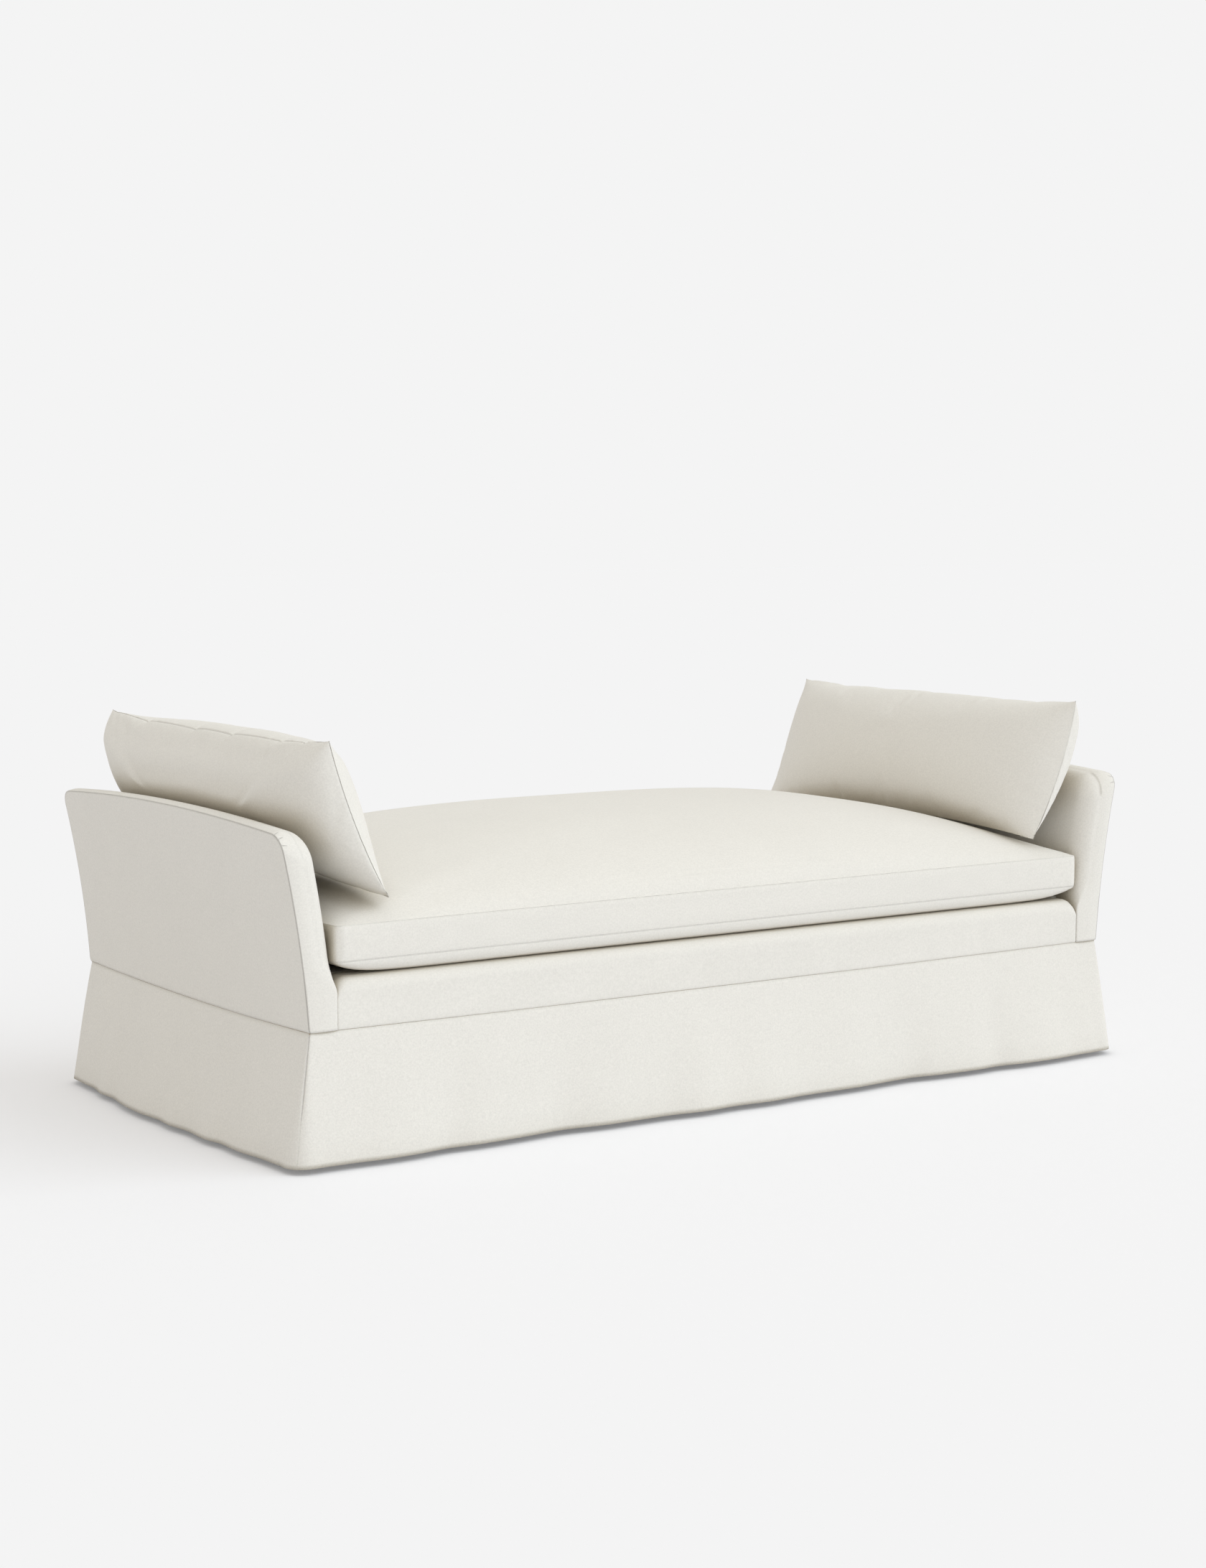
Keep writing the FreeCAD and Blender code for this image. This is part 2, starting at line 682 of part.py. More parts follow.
def bands():
    """Cover of a long rail: up the front, round the edge and a little way over the deck."""
    face = -size.waist_half_depth
    inside = face + size.cover_thickness
    top = size.deck_height
    under = top - size.cover_thickness
    curve = size.band_corner
    tight = size.band_corner - size.cover_thickness
    front = padded_body("front_band_cover", "YZ_Plane", [
        (face, size.waist_height),
        (inside, size.waist_height),
        (inside, top - curve),
        arc_middle(face + curve, top - curve, tight, -1),
        (face + curve, under),
        (-band_edge, under),
        (-band_edge, top),
        (face + curve, top),
        arc_middle(face + curve, top - curve, curve, -1),
        (face, top - curve),
    ], size.frame_end * 2, both_ways=True)
    keep(front, "front_band_cover")
    keep(mirrored("back_band_cover", front, ALONG_Y), "back_band_cover")
    wadding = box("front_band_padding", (-size.frame_end, size.frame_end), (-band_inside, -size.rail_face),
                  (size.waist_height, size.rail_top))
    keep(wadding, "front_band_padding")
    keep(mirrored("back_band_padding", wadding, ALONG_Y), "back_band_padding")


# Ends: flared slabs with an arched top. Each face follows a curve of its height.

BLANK_MARGIN = 1.2
TOOL_MARGIN = 1.0
CORNER_TURNS = (90, 72, 54, 36, 18)
FLAT_SHARES = (1, 0.66, 0.33)
arm_span = (size.arm_inner_start, size.waist_half_length * BLANK_MARGIN)


def arm_inner(height):
    rise = max(height - mm.arm_knee_height, 0)
    return mm.arm_inner_start + mm.arm_inner_lean * rise + mm.arm_inner_curl * rise ** 2


def arm_outer(height):
    rise = max(height - mm.waist_height, 0)
    return mm.waist_half_length + mm.arm_outer_lean * rise + mm.arm_outer_curl * rise ** 2


def arm_seam(depth):
    """Height of the arched top seam at a distance from mid depth."""
    return mm.arm_seam_height - mm.arm_arch * (depth / mm.waist_half_depth) ** 2


def arm_stations(inset):
    """Depths at which the end's section is drawn, with the drop of its top at the corners."""
    radius = mm.arm_corner_radius - inset
    flat_half = mm.waist_half_depth - mm.arm_corner_radius
    stations = []
    for degrees in CORNER_TURNS:
        turn = math.radians(degrees)
        stations.append((flat_half + radius * math.sin(turn), radius * (1 - math.cos(turn))))
    for share in FLAT_SHARES:
        stations.append((flat_half * share, 0))
    middle = [(0, 0)]
    front = [(-depth, drop) for depth, drop in stations]
    back = [(depth, drop) for depth, drop in reversed(stations)]
    return front + middle + back


def arm_section(depth, drop, low, inner_inset, outer_inset, top_inset):
    """One section of an end across its thickness, as a closed wire."""
    seam = arm_seam(abs(depth)) - drop - top_inset
    shoulder = seam - mm.arm_round_height + top_inset
    bend = shoulder - (shoulder - mm.arm_knee_height) / 2

    def point(across, height):
        return Vector(across, depth, height)

    inner_low = point(arm_inner(low) + inner_inset, low)
    knee = point(arm_inner(mm.arm_knee_height) + inner_inset, mm.arm_knee_height)
    inner_mid = point(arm_inner(bend) + inner_inset, bend)
    inner_top = point(arm_inner(shoulder) + inner_inset, shoulder)
    crest_height = seam + mm.arm_top_crown
    crest = point(inner_top.x + mm.arm_round_width, crest_height)
    share = math.sqrt(0.5)
    round_mid = point(
        crest.x - mm.arm_round_width * share,
        inner_top.z + (crest_height - inner_top.z) * share,
    )
    outer_top = point(arm_outer(seam) - outer_inset, seam)
    waist = mm.waist_height
    outer_mid_height = (seam + waist) / 2
    outer_mid = point(arm_outer(outer_mid_height) - outer_inset, outer_mid_height)
    outer_waist = point(arm_outer(waist) - outer_inset, waist)
    edges = [
        Part.LineSegment(inner_low, knee),
        Part.Arc(knee, inner_mid, inner_top),
        Part.Arc(inner_top, round_mid, crest),
        Part.LineSegment(crest, outer_top),
        Part.Arc(outer_top, outer_mid, outer_waist),
    ]
    if low < waist:
        outer_low = point(arm_outer(low) - outer_inset, low)
        edges.append(Part.LineSegment(outer_waist, outer_low))
        edges.append(Part.LineSegment(outer_low, inner_low))
    else:
        edges.append(Part.LineSegment(outer_waist, inner_low))
    return Part.Wire([edge.toShape() for edge in edges])


def arm_form(low, inner_inset=0.0, outer_inset=0.0, top_inset=0.0):
    """The solid form of the right end above a height, drawn in by the given insets."""
    sections = [
        arm_section(depth, drop, low, inner_inset, outer_inset, top_inset)
        for depth, drop in arm_stations(top_inset)
    ]
    return Part.makeLoft(sections, True, True)


def arm_pieces():
    """Cover, padding, boards, ribs and rails of the right end."""
    cover = mm.cover_thickness
    gap = mm.fit_gap
    inner = cover + mm.arm_inner_padding
    outer = cover + mm.arm_outer_padding
    board = mm.arm_board_thickness
    waist = mm.waist_height
    below = mm.frame_bottom
    skin = arm_form(waist).cut(arm_form(below, cover, cover, cover))
    loose = cover + 2 * gap
    wrap = arm_form(waist, loose, loose, loose)
    wrap = wrap.cut(arm_form(below, inner, outer, inner))
    pieces = [
        (formed("right_arm_cover", skin), "arm_cover"),
        (formed("right_arm_padding", wrap), "arm_padding"),
    ]
    inset = inner + gap
    under = inset + mm.arm_core_drop
    core = formed("right_arm_core", arm_form(waist, inset + board, outer + gap + board, under))
    half = size.waist_half_depth - size.cover_thickness - size.arm_inner_padding - size.fit_gap
    rib = size.arm_rib_thickness
    tall = (size.waist_height, size.arm_seam_height * BLANK_MARGIN)
    ribs = [
        common("right_front_rib", box("front_rib_blank", arm_span, (-half, -half + rib), tall), core),
        common("right_middle_rib", box("middle_rib_blank", arm_span, (-rib / 2, rib / 2), tall), core),
        common("right_back_rib", box("back_rib_blank", arm_span, (half - rib, half), tall), core),
    ]
    pieces.append((group("right_arm_ribs", ribs), "arm_ribs"))
    pieces.append((group("right_arm_top_rail", top_rails(core, half)), "arm_top_rail"))
    pieces.append((arm_bottom_rail(), "arm_bottom_rail"))
    pieces += arm_boards(half)
    for item, label in pieces:
        keep(item, f"right_{label}")
        keep(mirrored(f"left_{label}", item, ALONG_X), f"left_{label}")


def top_rails(core, half):
    """Top rail of the right end: one length between each two ribs."""
    rib = size.arm_rib_thickness
    low = size.arm_seam_height - size.arm_arch - size.arm_inner_padding - size.arm_top_rail_height
    heights = (low, size.arm_seam_height * BLANK_MARGIN)
    lengths = []
    for label, side in (("front", -1), ("back", 1)):
        near, far = rib / 2, half - rib
        depth = (near, far) if side > 0 else (-far, -near)
        blank = box(f"{label}_top_rail_blank", arm_span, depth, heights)
        lengths.append(common(f"right_{label}_top_rail", blank, core))
    return lengths


skirt_inside = size.waist_half_length - size.skirt_thickness - size.fit_gap
batten_thickness = size.waist_half_depth - size.skirt_thickness - size.fit_gap - size.rail_face
arm_rail_inner = size.arm_inner_start
arm_rail_outer = skirt_inside - batten_thickness


def arm_bottom_rail():
    """Rail that the ribs of an end stand on, bored for its bolts and their tee nuts."""
    outline = [
        (-size.rail_face, size.frame_bottom),
        (size.rail_face, size.frame_bottom),
        (size.rail_face, size.waist_height),
        (-size.rail_face, size.waist_height),
    ]
    rows = [size.arm_bolt_spacing * row for row in bolt_rows]
    shank = size.arm_bolt_radius + size.bolt_clearance
    barrel = size.tee_nut_radius + size.bolt_clearance
    rail = padded_body("right_arm_bottom_rail", "YZ_Plane", outline, arm_rail_outer - arm_rail_inner,
                       backwards=True)
    through = [(row, size.arm_bolt_height, shank) for row in rows]
    pocketed(rail, "YZ_Plane", through, arm_rail_outer - arm_rail_inner, False)
    wide = [(row, size.arm_bolt_height, barrel) for row in rows]
    pocketed(rail, "YZ_Plane", wide, size.tee_nut_length, False)
    settle(rail, (arm_rail_outer, 0, 0))
    return rail


def arm_boards(half):
    """Thin boards on both sides of the ribs, bent to the faces of the right end."""
    inner = mm.cover_thickness + mm.arm_inner_padding + mm.fit_gap
    outer = mm.cover_thickness + mm.arm_outer_padding + mm.fit_gap
    under = inner + mm.arm_core_drop
    board = mm.arm_board_thickness
    thick = board - mm.fit_gap
    waist, below = mm.waist_height, mm.frame_bottom
    lowest_corner = size.arm_seam_height - size.arm_arch - size.arm_corner_radius
    inner_top = lowest_corner - size.arm_round_height
    outer_top = lowest_corner - size.arm_inner_padding
    inner_sheet = arm_form(waist, inner, outer + board, under)
    inner_sheet = inner_sheet.cut(arm_form(below, inner + thick, outer, under - TOOL_MARGIN))
    outer_sheet = arm_form(waist, inner + board, outer, under)
    outer_sheet = outer_sheet.cut(arm_form(below, inner, outer + thick, under - TOOL_MARGIN))
    boards = []
    for label, sheet_form, top in (("inner", inner_sheet, inner_top), ("outer", outer_sheet, outer_top)):
        blank = box(f"{label}_board_blank", arm_span, (-half, half), (size.waist_height, top))
        board_piece = common(f"right_arm_{label}_board", formed(f"{label}_board_sheet", sheet_form), blank)
        boards.append((board_piece, f"arm_{label}_board"))
    return boards


def arm_fittings():
    """Bolts, washers and tee nuts that hold the ends to the base frame."""
    head = size.arm_bolt_head_height
    washer = size.washer_thickness
    reach = arm_rail_outer - size.end_rail_inner + washer
    bolt = turned_body("arm_bolt", [
        (0, -head),
        (size.arm_bolt_head_radius, -head),
        (size.arm_bolt_head_radius, 0),
        (size.arm_bolt_radius, 0),
        (size.arm_bolt_radius, reach),
        (0, reach),
    ])
    bore = size.arm_bolt_radius + size.bolt_clearance
    ring = turned_body("arm_bolt_washer", [
        (bore, 0),
        (size.washer_radius, 0),
        (size.washer_radius, washer),
        (bore, washer),
    ])
    nut = turned_body("arm_tee_nut", [
        (bore, -size.tee_nut_length),
        (size.tee_nut_radius, -size.tee_nut_length),
        (size.tee_nut_radius, 0),
        (size.tee_nut_flange_radius, 0),
        (size.tee_nut_flange_radius, size.tee_nut_flange),
        (bore, size.tee_nut_flange),
    ])
    seat = size.end_rail_inner.number
    parts_of_joint = (
        ("arm_bolts", bolt, seat - mm.washer_thickness),
        ("arm_bolt_washers", ring, seat - mm.washer_thickness),
        ("arm_tee_nuts", nut, arm_rail_outer.number),
    )
    for label, source, distance in parts_of_joint:
        spots = []
        for side in (1, -1):
            turn = Rotation(ALONG_Y, 90 * side)
            for row in bolt_rows:
                place = Vector(distance * side, mm.arm_bolt_spacing * row, mm.arm_bolt_height)
                spots.append(FreeCAD.Placement(place, turn))
        keep(repeated(label, source, spots), label)


# Skirt: four hanging panels, each with soft folds that grow from the waist to the hem

SKIRT_LEVELS = (0, 0.14, 0.5, 1)
FLATTEST_FOLD = 0.04
WIDTH_SWING, WIDTH_RATE = 0.28, 2.3
DEPTH_SWING, DEPTH_RATE = 0.3, 1.7


def fold_edges(half, base, belly, folds, depth, height):
    """Chain of arcs from one end of a panel to the other, bowing out and in by turns."""
    widths = [1 + WIDTH_SWING * math.sin(WIDTH_RATE * number) for number in range(folds)]
    total = sum(widths)

    def outward(along):
        return base + belly * (1 - (along / half) ** 2)

    edges = []
    start = -half
    for number, width in enumerate(widths):
        end = start + 2 * half * width / total
        middle = (start + end) / 2
        side = 1 if number % 2 == 0 else -1
        bow = depth * side * (1 - DEPTH_SWING + DEPTH_SWING * math.cos(DEPTH_RATE * number))
        edges.append((
            Vector(start, -outward(start), height),
            Vector(middle, -outward(middle) - bow, height),
            Vector(end, -outward(end), height),
        ))
        start = end
    return edges


def skirt_level(share, panel):
    """Outline of a panel at one height: folded outside, the same folds inside, two short ends."""
    half_waist, half_flare, base_waist, base_flare, belly, folds, shorter = panel
    height = mm.waist_height - mm.fit_gap - share * (mm.waist_height - mm.fit_gap - mm.skirt_gap)
    half = half_waist + half_flare * share - shorter
    depth = mm.skirt_fold_depth * max(share, FLATTEST_FOLD)
    outer = fold_edges(half, base_waist + base_flare * share, belly * share, folds, depth, height)
    shift = Vector(0, mm.skirt_thickness, 0)
    edges = [Part.Arc(start, middle, end) for start, middle, end in outer]
    last = outer[-1][2]
    edges.append(Part.LineSegment(last, last + shift))
    for start, middle, end in reversed(outer):
        edges.append(Part.Arc(end + shift, middle + shift, start + shift))
    first = outer[0][0]
    edges.append(Part.LineSegment(first + shift, first))
    return Part.Wire([edge.toShape() for edge in edges])


def skirt_panel(name, panel, turn):
    shape = Part.makeLoft([skirt_level(share, panel) for share in SKIRT_LEVELS], True, True)
    item = formed(name, shape)
    item.Placement = FreeCAD.Placement(Vector(), Rotation(UPWARD, turn))
    return keep(item, name)


def skirt():
    front = (
        mm.waist_half_length, mm.skirt_end_flare, mm.waist_half_depth, mm.skirt_front_flare,
        mm.skirt_front_belly, int(mm.skirt_front_folds), 0,
    )
    end = (
        mm.waist_half_depth, mm.skirt_front_flare, mm.waist_half_length, mm.skirt_end_flare,
        mm.skirt_end_belly, int(mm.skirt_end_folds), mm.skirt_thickness + mm.skirt_corner_gap,
    )
    skirt_panel("front_skirt", front, 0)
    skirt_panel("back_skirt", front, 180)
    skirt_panel("left_skirt", end, -90)
    skirt_panel("right_skirt", end, 90)


def battens():
    """Strips behind the waist seam that the skirt is tacked to."""
    high = size.waist_height - size.fit_gap
    heights = (high - size.batten_height, high)
    end_inner = arm_rail_outer
    long_half = skirt_inside
    face = size.rail_face
    front = box("front_batten", (-long_half, long_half), (-face - batten_thickness, -face), heights)
    right = box("right_batten", (end_inner, end_inner + batten_thickness), (-face, face), heights)
    strips = [
        front, mirrored("back_batten", front, ALONG_Y),
        right, mirrored("left_batten", right, ALONG_X),
    ]
    keep(group("skirt_battens", strips), "skirt_battens")


# Seat cushion: boxed, with a high crown and a curved border under the lower seam

CROWN_ALONG = (3.0, 0.8)
CROWN_ACROSS = (2.6, 0.6)
CROWN_MARGIN = 4
BORDER_SHARES = (0.25, 0.36)
MIDDLE_SHARES = (0, 0.24, 0.48, 0.67, 0.8)
END_DISTANCES = (111, 61, 31, 13, 5, 0)
BOTTOM_LIFT_POWER = 21
SIDE_DRAW_POWER = 4
SHOULDER_SHARES = (0.66, 0.88)


def crown_along(distance):
    power, shape = CROWN_ALONG
    reach = mm.seat_half_length + CROWN_MARGIN
    return (1 - min(distance / reach, 1) ** power) ** shape


def crown_across(depth):
    power, shape = CROWN_ACROSS
    reach = mm.seat_half_depth + CROWN_MARGIN
    return (1 - min(abs(depth) / reach, 1) ** power) ** shape


def seat_surface(along, depth):
    """Height of the crown over a point in plan."""
    return mm.seat_upper_seam + mm.seat_crown * crown_along(abs(along)) * crown_across(depth)


def seat_section(along, inset):
    """Section of the seat cushion across its depth, as a closed wire."""
    distance = abs(along)
    share = distance / mm.seat_half_length
    half = mm.seat_half_depth - inset - mm.seat_side_draw * (1 - share ** SIDE_DRAW_POWER)
    from_end = mm.seat_half_length - distance
    if from_end < mm.seat_corner_round:
        turn = mm.seat_corner_round - from_end
        half -= mm.seat_corner_round - math.sqrt(mm.seat_corner_round ** 2 - turn ** 2)
    lower, upper = mm.seat_lower_seam, mm.seat_upper_seam - inset / 2
    floor = size.seat_bottom.number + inset
    lift = (lower - floor - mm.seat_end_border) * share ** BOTTOM_LIFT_POWER
    floor += lift
    curve = mm.seat_bottom_curve
    inner_half = half - curve

    def point(depth, height):
        return Vector(along, depth, height)

    def crown(portion):
        depth = half * portion
        height = seat_surface(along, mm.seat_half_depth * portion)
        return height - mm.seat_upper_seam + upper - inset / 2

    near, far = SHOULDER_SHARES
    edge_inset, edge_rise = BORDER_SHARES

    def side_points(side):
        """Points of one half of the section, from the bottom panel to the crown."""
        return [
            point(side * inner_half, floor),
            point(side * (half - curve * edge_inset), floor + (lower - floor) * edge_rise),
            point(side * half, lower),
            point(side * half, upper),
            point(side * half * far, crown(far)),
            point(side * half * near, crown(near)),
        ]

    back, front = side_points(1), side_points(-1)
    edges = [
        Part.LineSegment(front[0], back[0]),
        Part.Arc(*back[0:3]),
        Part.LineSegment(back[2], back[3]),
        Part.Arc(*back[3:6]),
        Part.Arc(back[5], point(0, crown(0)), front[5]),
        Part.Arc(front[5], front[4], front[3]),
        Part.LineSegment(front[3], front[2]),
        Part.Arc(front[2], front[1], front[0]),
    ]
    return Part.Wire([edge.toShape() for edge in edges])


def seat_stations(inset):
    """Places of the sections along the cushion, closer together towards its ends."""
    half = mm.seat_half_length
    right = [half * share for share in MIDDLE_SHARES]
    right += [half - distance for distance in END_DISTANCES]
    drawn_in = (half - inset) / half
    right = [place * drawn_in for place in right]
    return [-place for place in reversed(right[1:])] + right


def seat_form(inset):
    sections = [seat_section(along, inset) for along in seat_stations(inset)]
    return Part.makeLoft(sections, True, False)


def seat_cushion():
    cover = mm.seat_cover_thickness
    gap = mm.fit_gap
    outside = seat_form(0)
    keep(formed("seat_cushion_cover", outside.cut(seat_form(cover))), "seat_cushion_cover")
    core_low = size.seat_bottom + size.seat_cover_thickness + size.seat_wrap_under
    half_length, half_depth = size.seat_core_half_length, size.seat_core_half_depth
    core = padded_body("seat_cushion_core", "XY_Plane", [
        (-half_length, -half_depth),
        (half_length, -half_depth),
        (half_length, half_depth),
        (-half_length, half_depth),
    ], size.seat_core_height)
    doc.recompute()
    pad = core.Tip
    rounding = core.newObject("PartDesign::Fillet", "core_corners")
    upright = [
        f"Edge{number}" for number, edge in enumerate(pad.Shape.Edges, start=1)
        if abs(edge.tangentAt(edge.FirstParameter).z) > 0.9
    ]
    rounding.Base = (pad, upright)
    rounding.setExpression("Radius", size.seat_core_corner.formula)
    settle(core, (0, 0, core_low))
    keep(core, "seat_cushion_core")
    doc.recompute()
    wrap = seat_form(cover + gap).cut(core.Shape)
    keep(formed("seat_cushion_wrap", wrap), "seat_cushion_wrap")


PULL_MARGIN = 1
boxing_middle = (size.seat_lower_seam + size.seat_upper_seam) / 2
zip_face = size.seat_half_depth - size.seat_side_draw + size.fit_gap


def zip_pieces():
    """Zip on the back boxing, with the slider parked at its left end."""
    half_tape = size.zip_width / 2
    outer = zip_face + size.zip_thickness
    tape = box("seat_cushion_zip", (-size.zip_half_length, size.zip_half_length),
               (zip_face, outer), (boxing_middle - half_tape, boxing_middle + half_tape))
    keep(tape, "seat_cushion_zip")
    near = outer + size.lift_gap
    start = -size.zip_half_length
    half_slider = size.slider_height / 2
    face = near + size.slider_thickness
    block = box("slider_block", (start, start + size.slider_length), (near, face),
                (boxing_middle - half_slider, boxing_middle + half_slider))
    half_pull = half_slider - PULL_MARGIN
    hinge = start + size.slider_length / 2
    pull = box("slider_pull", (hinge, hinge + size.pull_length), (face, face + size.pull_thickness),
               (boxing_middle - half_pull, boxing_middle + half_pull))
    fused = doc.addObject("Part::Fuse", "seat_zip_slider")
    fused.Base = block
    fused.Tool = pull
    keep(fused, "seat_zip_slider")


# Bolsters: knife-edge pillows that lean outward against the ends, lying on the crown

SWELL_POWER = 4.4
SWELL_SHAPE = 0.5
END_THICKNESS = 7.0
SEAM_INSET = 1.5
BOLSTER_SHARES = (0, 0.3, 0.55, 0.72, 0.84, 0.92, 0.965, 0.99, 1)


def bolster_section(share, inset):
    """Two half ellipses, seam to seam, at a share of the right bolster's half length."""
    depth = mm.bolster_shift + share * (mm.bolster_half_length - inset)
    seam_middle = seat_surface(mm.bolster_seam_bottom, 0) + mm.bolster_rest
    low_height = seam_middle - mm.bolster_bottom_arch * share ** 2
    top_corner = seam_middle - mm.bolster_bottom_arch + mm.bolster_height
    high_height = top_corner - mm.bolster_top_sag * (1 - share ** 4)
    low = Vector(mm.bolster_seam_bottom, depth, low_height)
    high = Vector(mm.bolster_seam_top, depth, high_height)
    slope = (high - low).normalize()
    low += slope * inset * SEAM_INSET
    high -= slope * inset * SEAM_INSET
    outward = Vector(slope.z, 0, -slope.x)
    swell = (1 - abs(share) ** SWELL_POWER) ** SWELL_SHAPE

    def bulge(full):
        half = END_THICKNESS / 2 + (full - END_THICKNESS / 2) * swell
        return max(half - inset, END_THICKNESS / 4)

    middle = (low + high) / 2
    inner = Part.Ellipse(low, middle - outward * bulge(mm.bolster_front_swell), middle)
    outer = Part.Ellipse(high, middle + outward * bulge(mm.bolster_back_swell), middle)
    return Part.Wire([Part.ArcOfEllipse(side, 0, math.pi).toShape() for side in (inner, outer)])


def bolster_form(inset):
    stations = [-share for share in reversed(BOLSTER_SHARES[1:])] + list(BOLSTER_SHARES)
    return Part.makeLoft([bolster_section(share, inset) for share in stations], True, False)


def bolsters():
    cover = mm.bolster_cover_thickness
    skin = formed("right_bolster_cover", bolster_form(0).cut(bolster_form(cover)))
    fill = formed("right_bolster_fill", bolster_form(cover + mm.fit_gap))
    for item, label in ((skin, "bolster_cover"), (fill, "bolster_fill")):
        keep(item, f"right_{label}")
        keep(mirrored(f"left_{label}", item, ALONG_X), f"left_{label}")


def check_and_write():
    """Stop at a failed object or an unsound shape, then write one file for each node."""
    doc.recompute()
    for item in doc.Objects:
        if "Invalid" in item.State or "Error" in item.State:
            raise RuntimeError(f"{item.Name} did not compute: {item.State}")
    for item in kept:
        if item.Shape.isNull() or not item.Shape.isValid() or not item.Shape.Solids:
            raise RuntimeError(f"{item.Label} has no sound shape")
    for item in kept:
        item.Shape.exportStep(f"parts/{item.Label}.step")
        solids = item.Shape.Solids
        volume = sum(solid.Volume for solid in solids) / 1000
        print(f"{item.Label}: {len(solids)} solids, {volume:.0f} cubic centimetres")


base_rails()
cross_rails()
corner_blocks()
legs()
leg_fittings()
dust_cover()
springs()
deck_layers()
edge_rolls()
bands()
arm_pieces()
arm_fittings()
skirt()
battens()
seat_cushion()
zip_pieces()
bolsters()
check_and_write()
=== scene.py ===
import json
import math

import bmesh
import bpy
import numpy as np
from mathutils import Matrix, Vector, noise


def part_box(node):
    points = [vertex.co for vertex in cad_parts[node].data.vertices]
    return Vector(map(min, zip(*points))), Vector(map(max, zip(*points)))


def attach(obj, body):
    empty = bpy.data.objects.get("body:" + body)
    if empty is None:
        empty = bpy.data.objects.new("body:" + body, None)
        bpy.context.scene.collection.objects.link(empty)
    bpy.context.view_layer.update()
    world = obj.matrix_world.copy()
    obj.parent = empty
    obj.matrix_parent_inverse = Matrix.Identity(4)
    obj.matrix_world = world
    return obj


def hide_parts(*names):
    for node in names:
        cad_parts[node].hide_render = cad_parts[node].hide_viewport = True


# Backless divan: the looks of its covers, cushions and skirt, around the fixed construction.
# Metres. X runs along the length, -Y is the front and +Z is up.

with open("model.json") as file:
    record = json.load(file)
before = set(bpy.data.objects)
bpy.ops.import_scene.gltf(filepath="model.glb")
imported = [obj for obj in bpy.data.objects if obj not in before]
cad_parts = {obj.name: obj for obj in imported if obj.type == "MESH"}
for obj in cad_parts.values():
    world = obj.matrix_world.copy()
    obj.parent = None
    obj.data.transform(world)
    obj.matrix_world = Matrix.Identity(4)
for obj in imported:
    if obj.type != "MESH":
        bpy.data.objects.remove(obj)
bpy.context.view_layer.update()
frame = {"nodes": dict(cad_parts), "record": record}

# Sizes read from the construction

arm_low, arm_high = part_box("right_arm_cover")
seat_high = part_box("seat_cushion_cover")[1]
band_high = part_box("front_band_cover")[1]
deck_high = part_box("deck_cover")[1]
zip_low, zip_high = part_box("seat_cushion_zip")

WAIST = arm_low.z
HALF_DEPTH = arm_high.y
HALF_WAIST = 1.014
DECK = deck_high.z
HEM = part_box("front_skirt")[0].z
FRONT_SAG = 0.003
END_SAG = 0.008


# Ways to build a piece

# A seam distance that stands for "away from every seam"
FAR = 0.05


def smooth_step(value):
    value = min(max(value, 0.0), 1.0)
    return value * value * (3 - 2 * value)


def mix(low, high, share):
    return low + (high - low) * share


def bell(value):
    """1 at 0, falling smoothly to 0 on both sides."""
    return math.exp(-(value ** 2))


def soft_noise(point, size, seed=0):
    """Smooth noise from -1 to 1 with hills of about the given size."""
    return noise.noise(Vector(point) / size + Vector((seed * 7.3, seed * 3.1, seed * 5.7)))


def spread(low, high, count, crowding=0.0):
    """Places from low to high, closer together at both ends by the crowding."""
    places = []
    for number in range(count + 1):
        share = number / count
        eased = (1 - math.cos(math.pi * share)) / 2
        places.append(mix(low, high, mix(share, eased, crowding)))
    return places


def linked(name, data):
    """A new object in the scene."""
    item = bpy.data.objects.new(name, data)
    bpy.context.scene.collection.objects.link(item)
    return item


def riding(name, mesh, body):
    """A new object that rides on a body."""
    item = linked(name, mesh)
    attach(item, body)
    return item


class Shell:
    """The points, faces and seam distances of one piece while it is built."""

    def __init__(self):
        self.points = []
        self.gaps = []
        self.faces = []

    def add(self, point, gap=FAR):
        self.points.append(tuple(point))
        self.gaps.append(min(gap, FAR))
        return len(self.points) - 1

    def grid(self, rows):
        """Quads between neighbouring rows of point numbers."""
        for low, high in zip(rows, rows[1:]):
            for number in range(len(low) - 1):
                quad = (low[number], low[number + 1], high[number + 1], high[number])
                kept = [corner for place, corner in enumerate(quad) if corner not in quad[:place]]
                if len(kept) > 2:
                    self.faces.append(tuple(kept))

    def piece(self, name, body, material, slot):
        """The finished object, riding on a body."""
        mesh = bpy.data.meshes.new(name)
        mesh.from_pydata(self.points, [], self.faces)
        mark = mesh.attributes.new("seam_gap", "FLOAT", "POINT")
        mark.data.foreach_set("value", self.gaps)
        work = bmesh.new()
        work.from_mesh(mesh)
        bmesh.ops.recalc_face_normals(work, faces=work.faces)
        if work.calc_volume(signed=True) < 0:
            bmesh.ops.reverse_faces(work, faces=work.faces)
        work.to_mesh(mesh)
        work.free()
        mesh.polygons.foreach_set("use_smooth", [True] * len(mesh.polygons))
        mesh.materials.append(material)
        return riding(name, mesh, body)


def mirrored_piece(source, name, body):
    """The same piece on the left."""
    mesh = source.data.copy()
    mesh.name = name
    for vertex in mesh.vertices:
        vertex.co.x = -vertex.co.x
    mesh.flip_normals()
    return riding(name, mesh, body)


# Materials

# Colour sockets of a Mix node
FIRST, SECOND, RESULT = 6, 7, 2

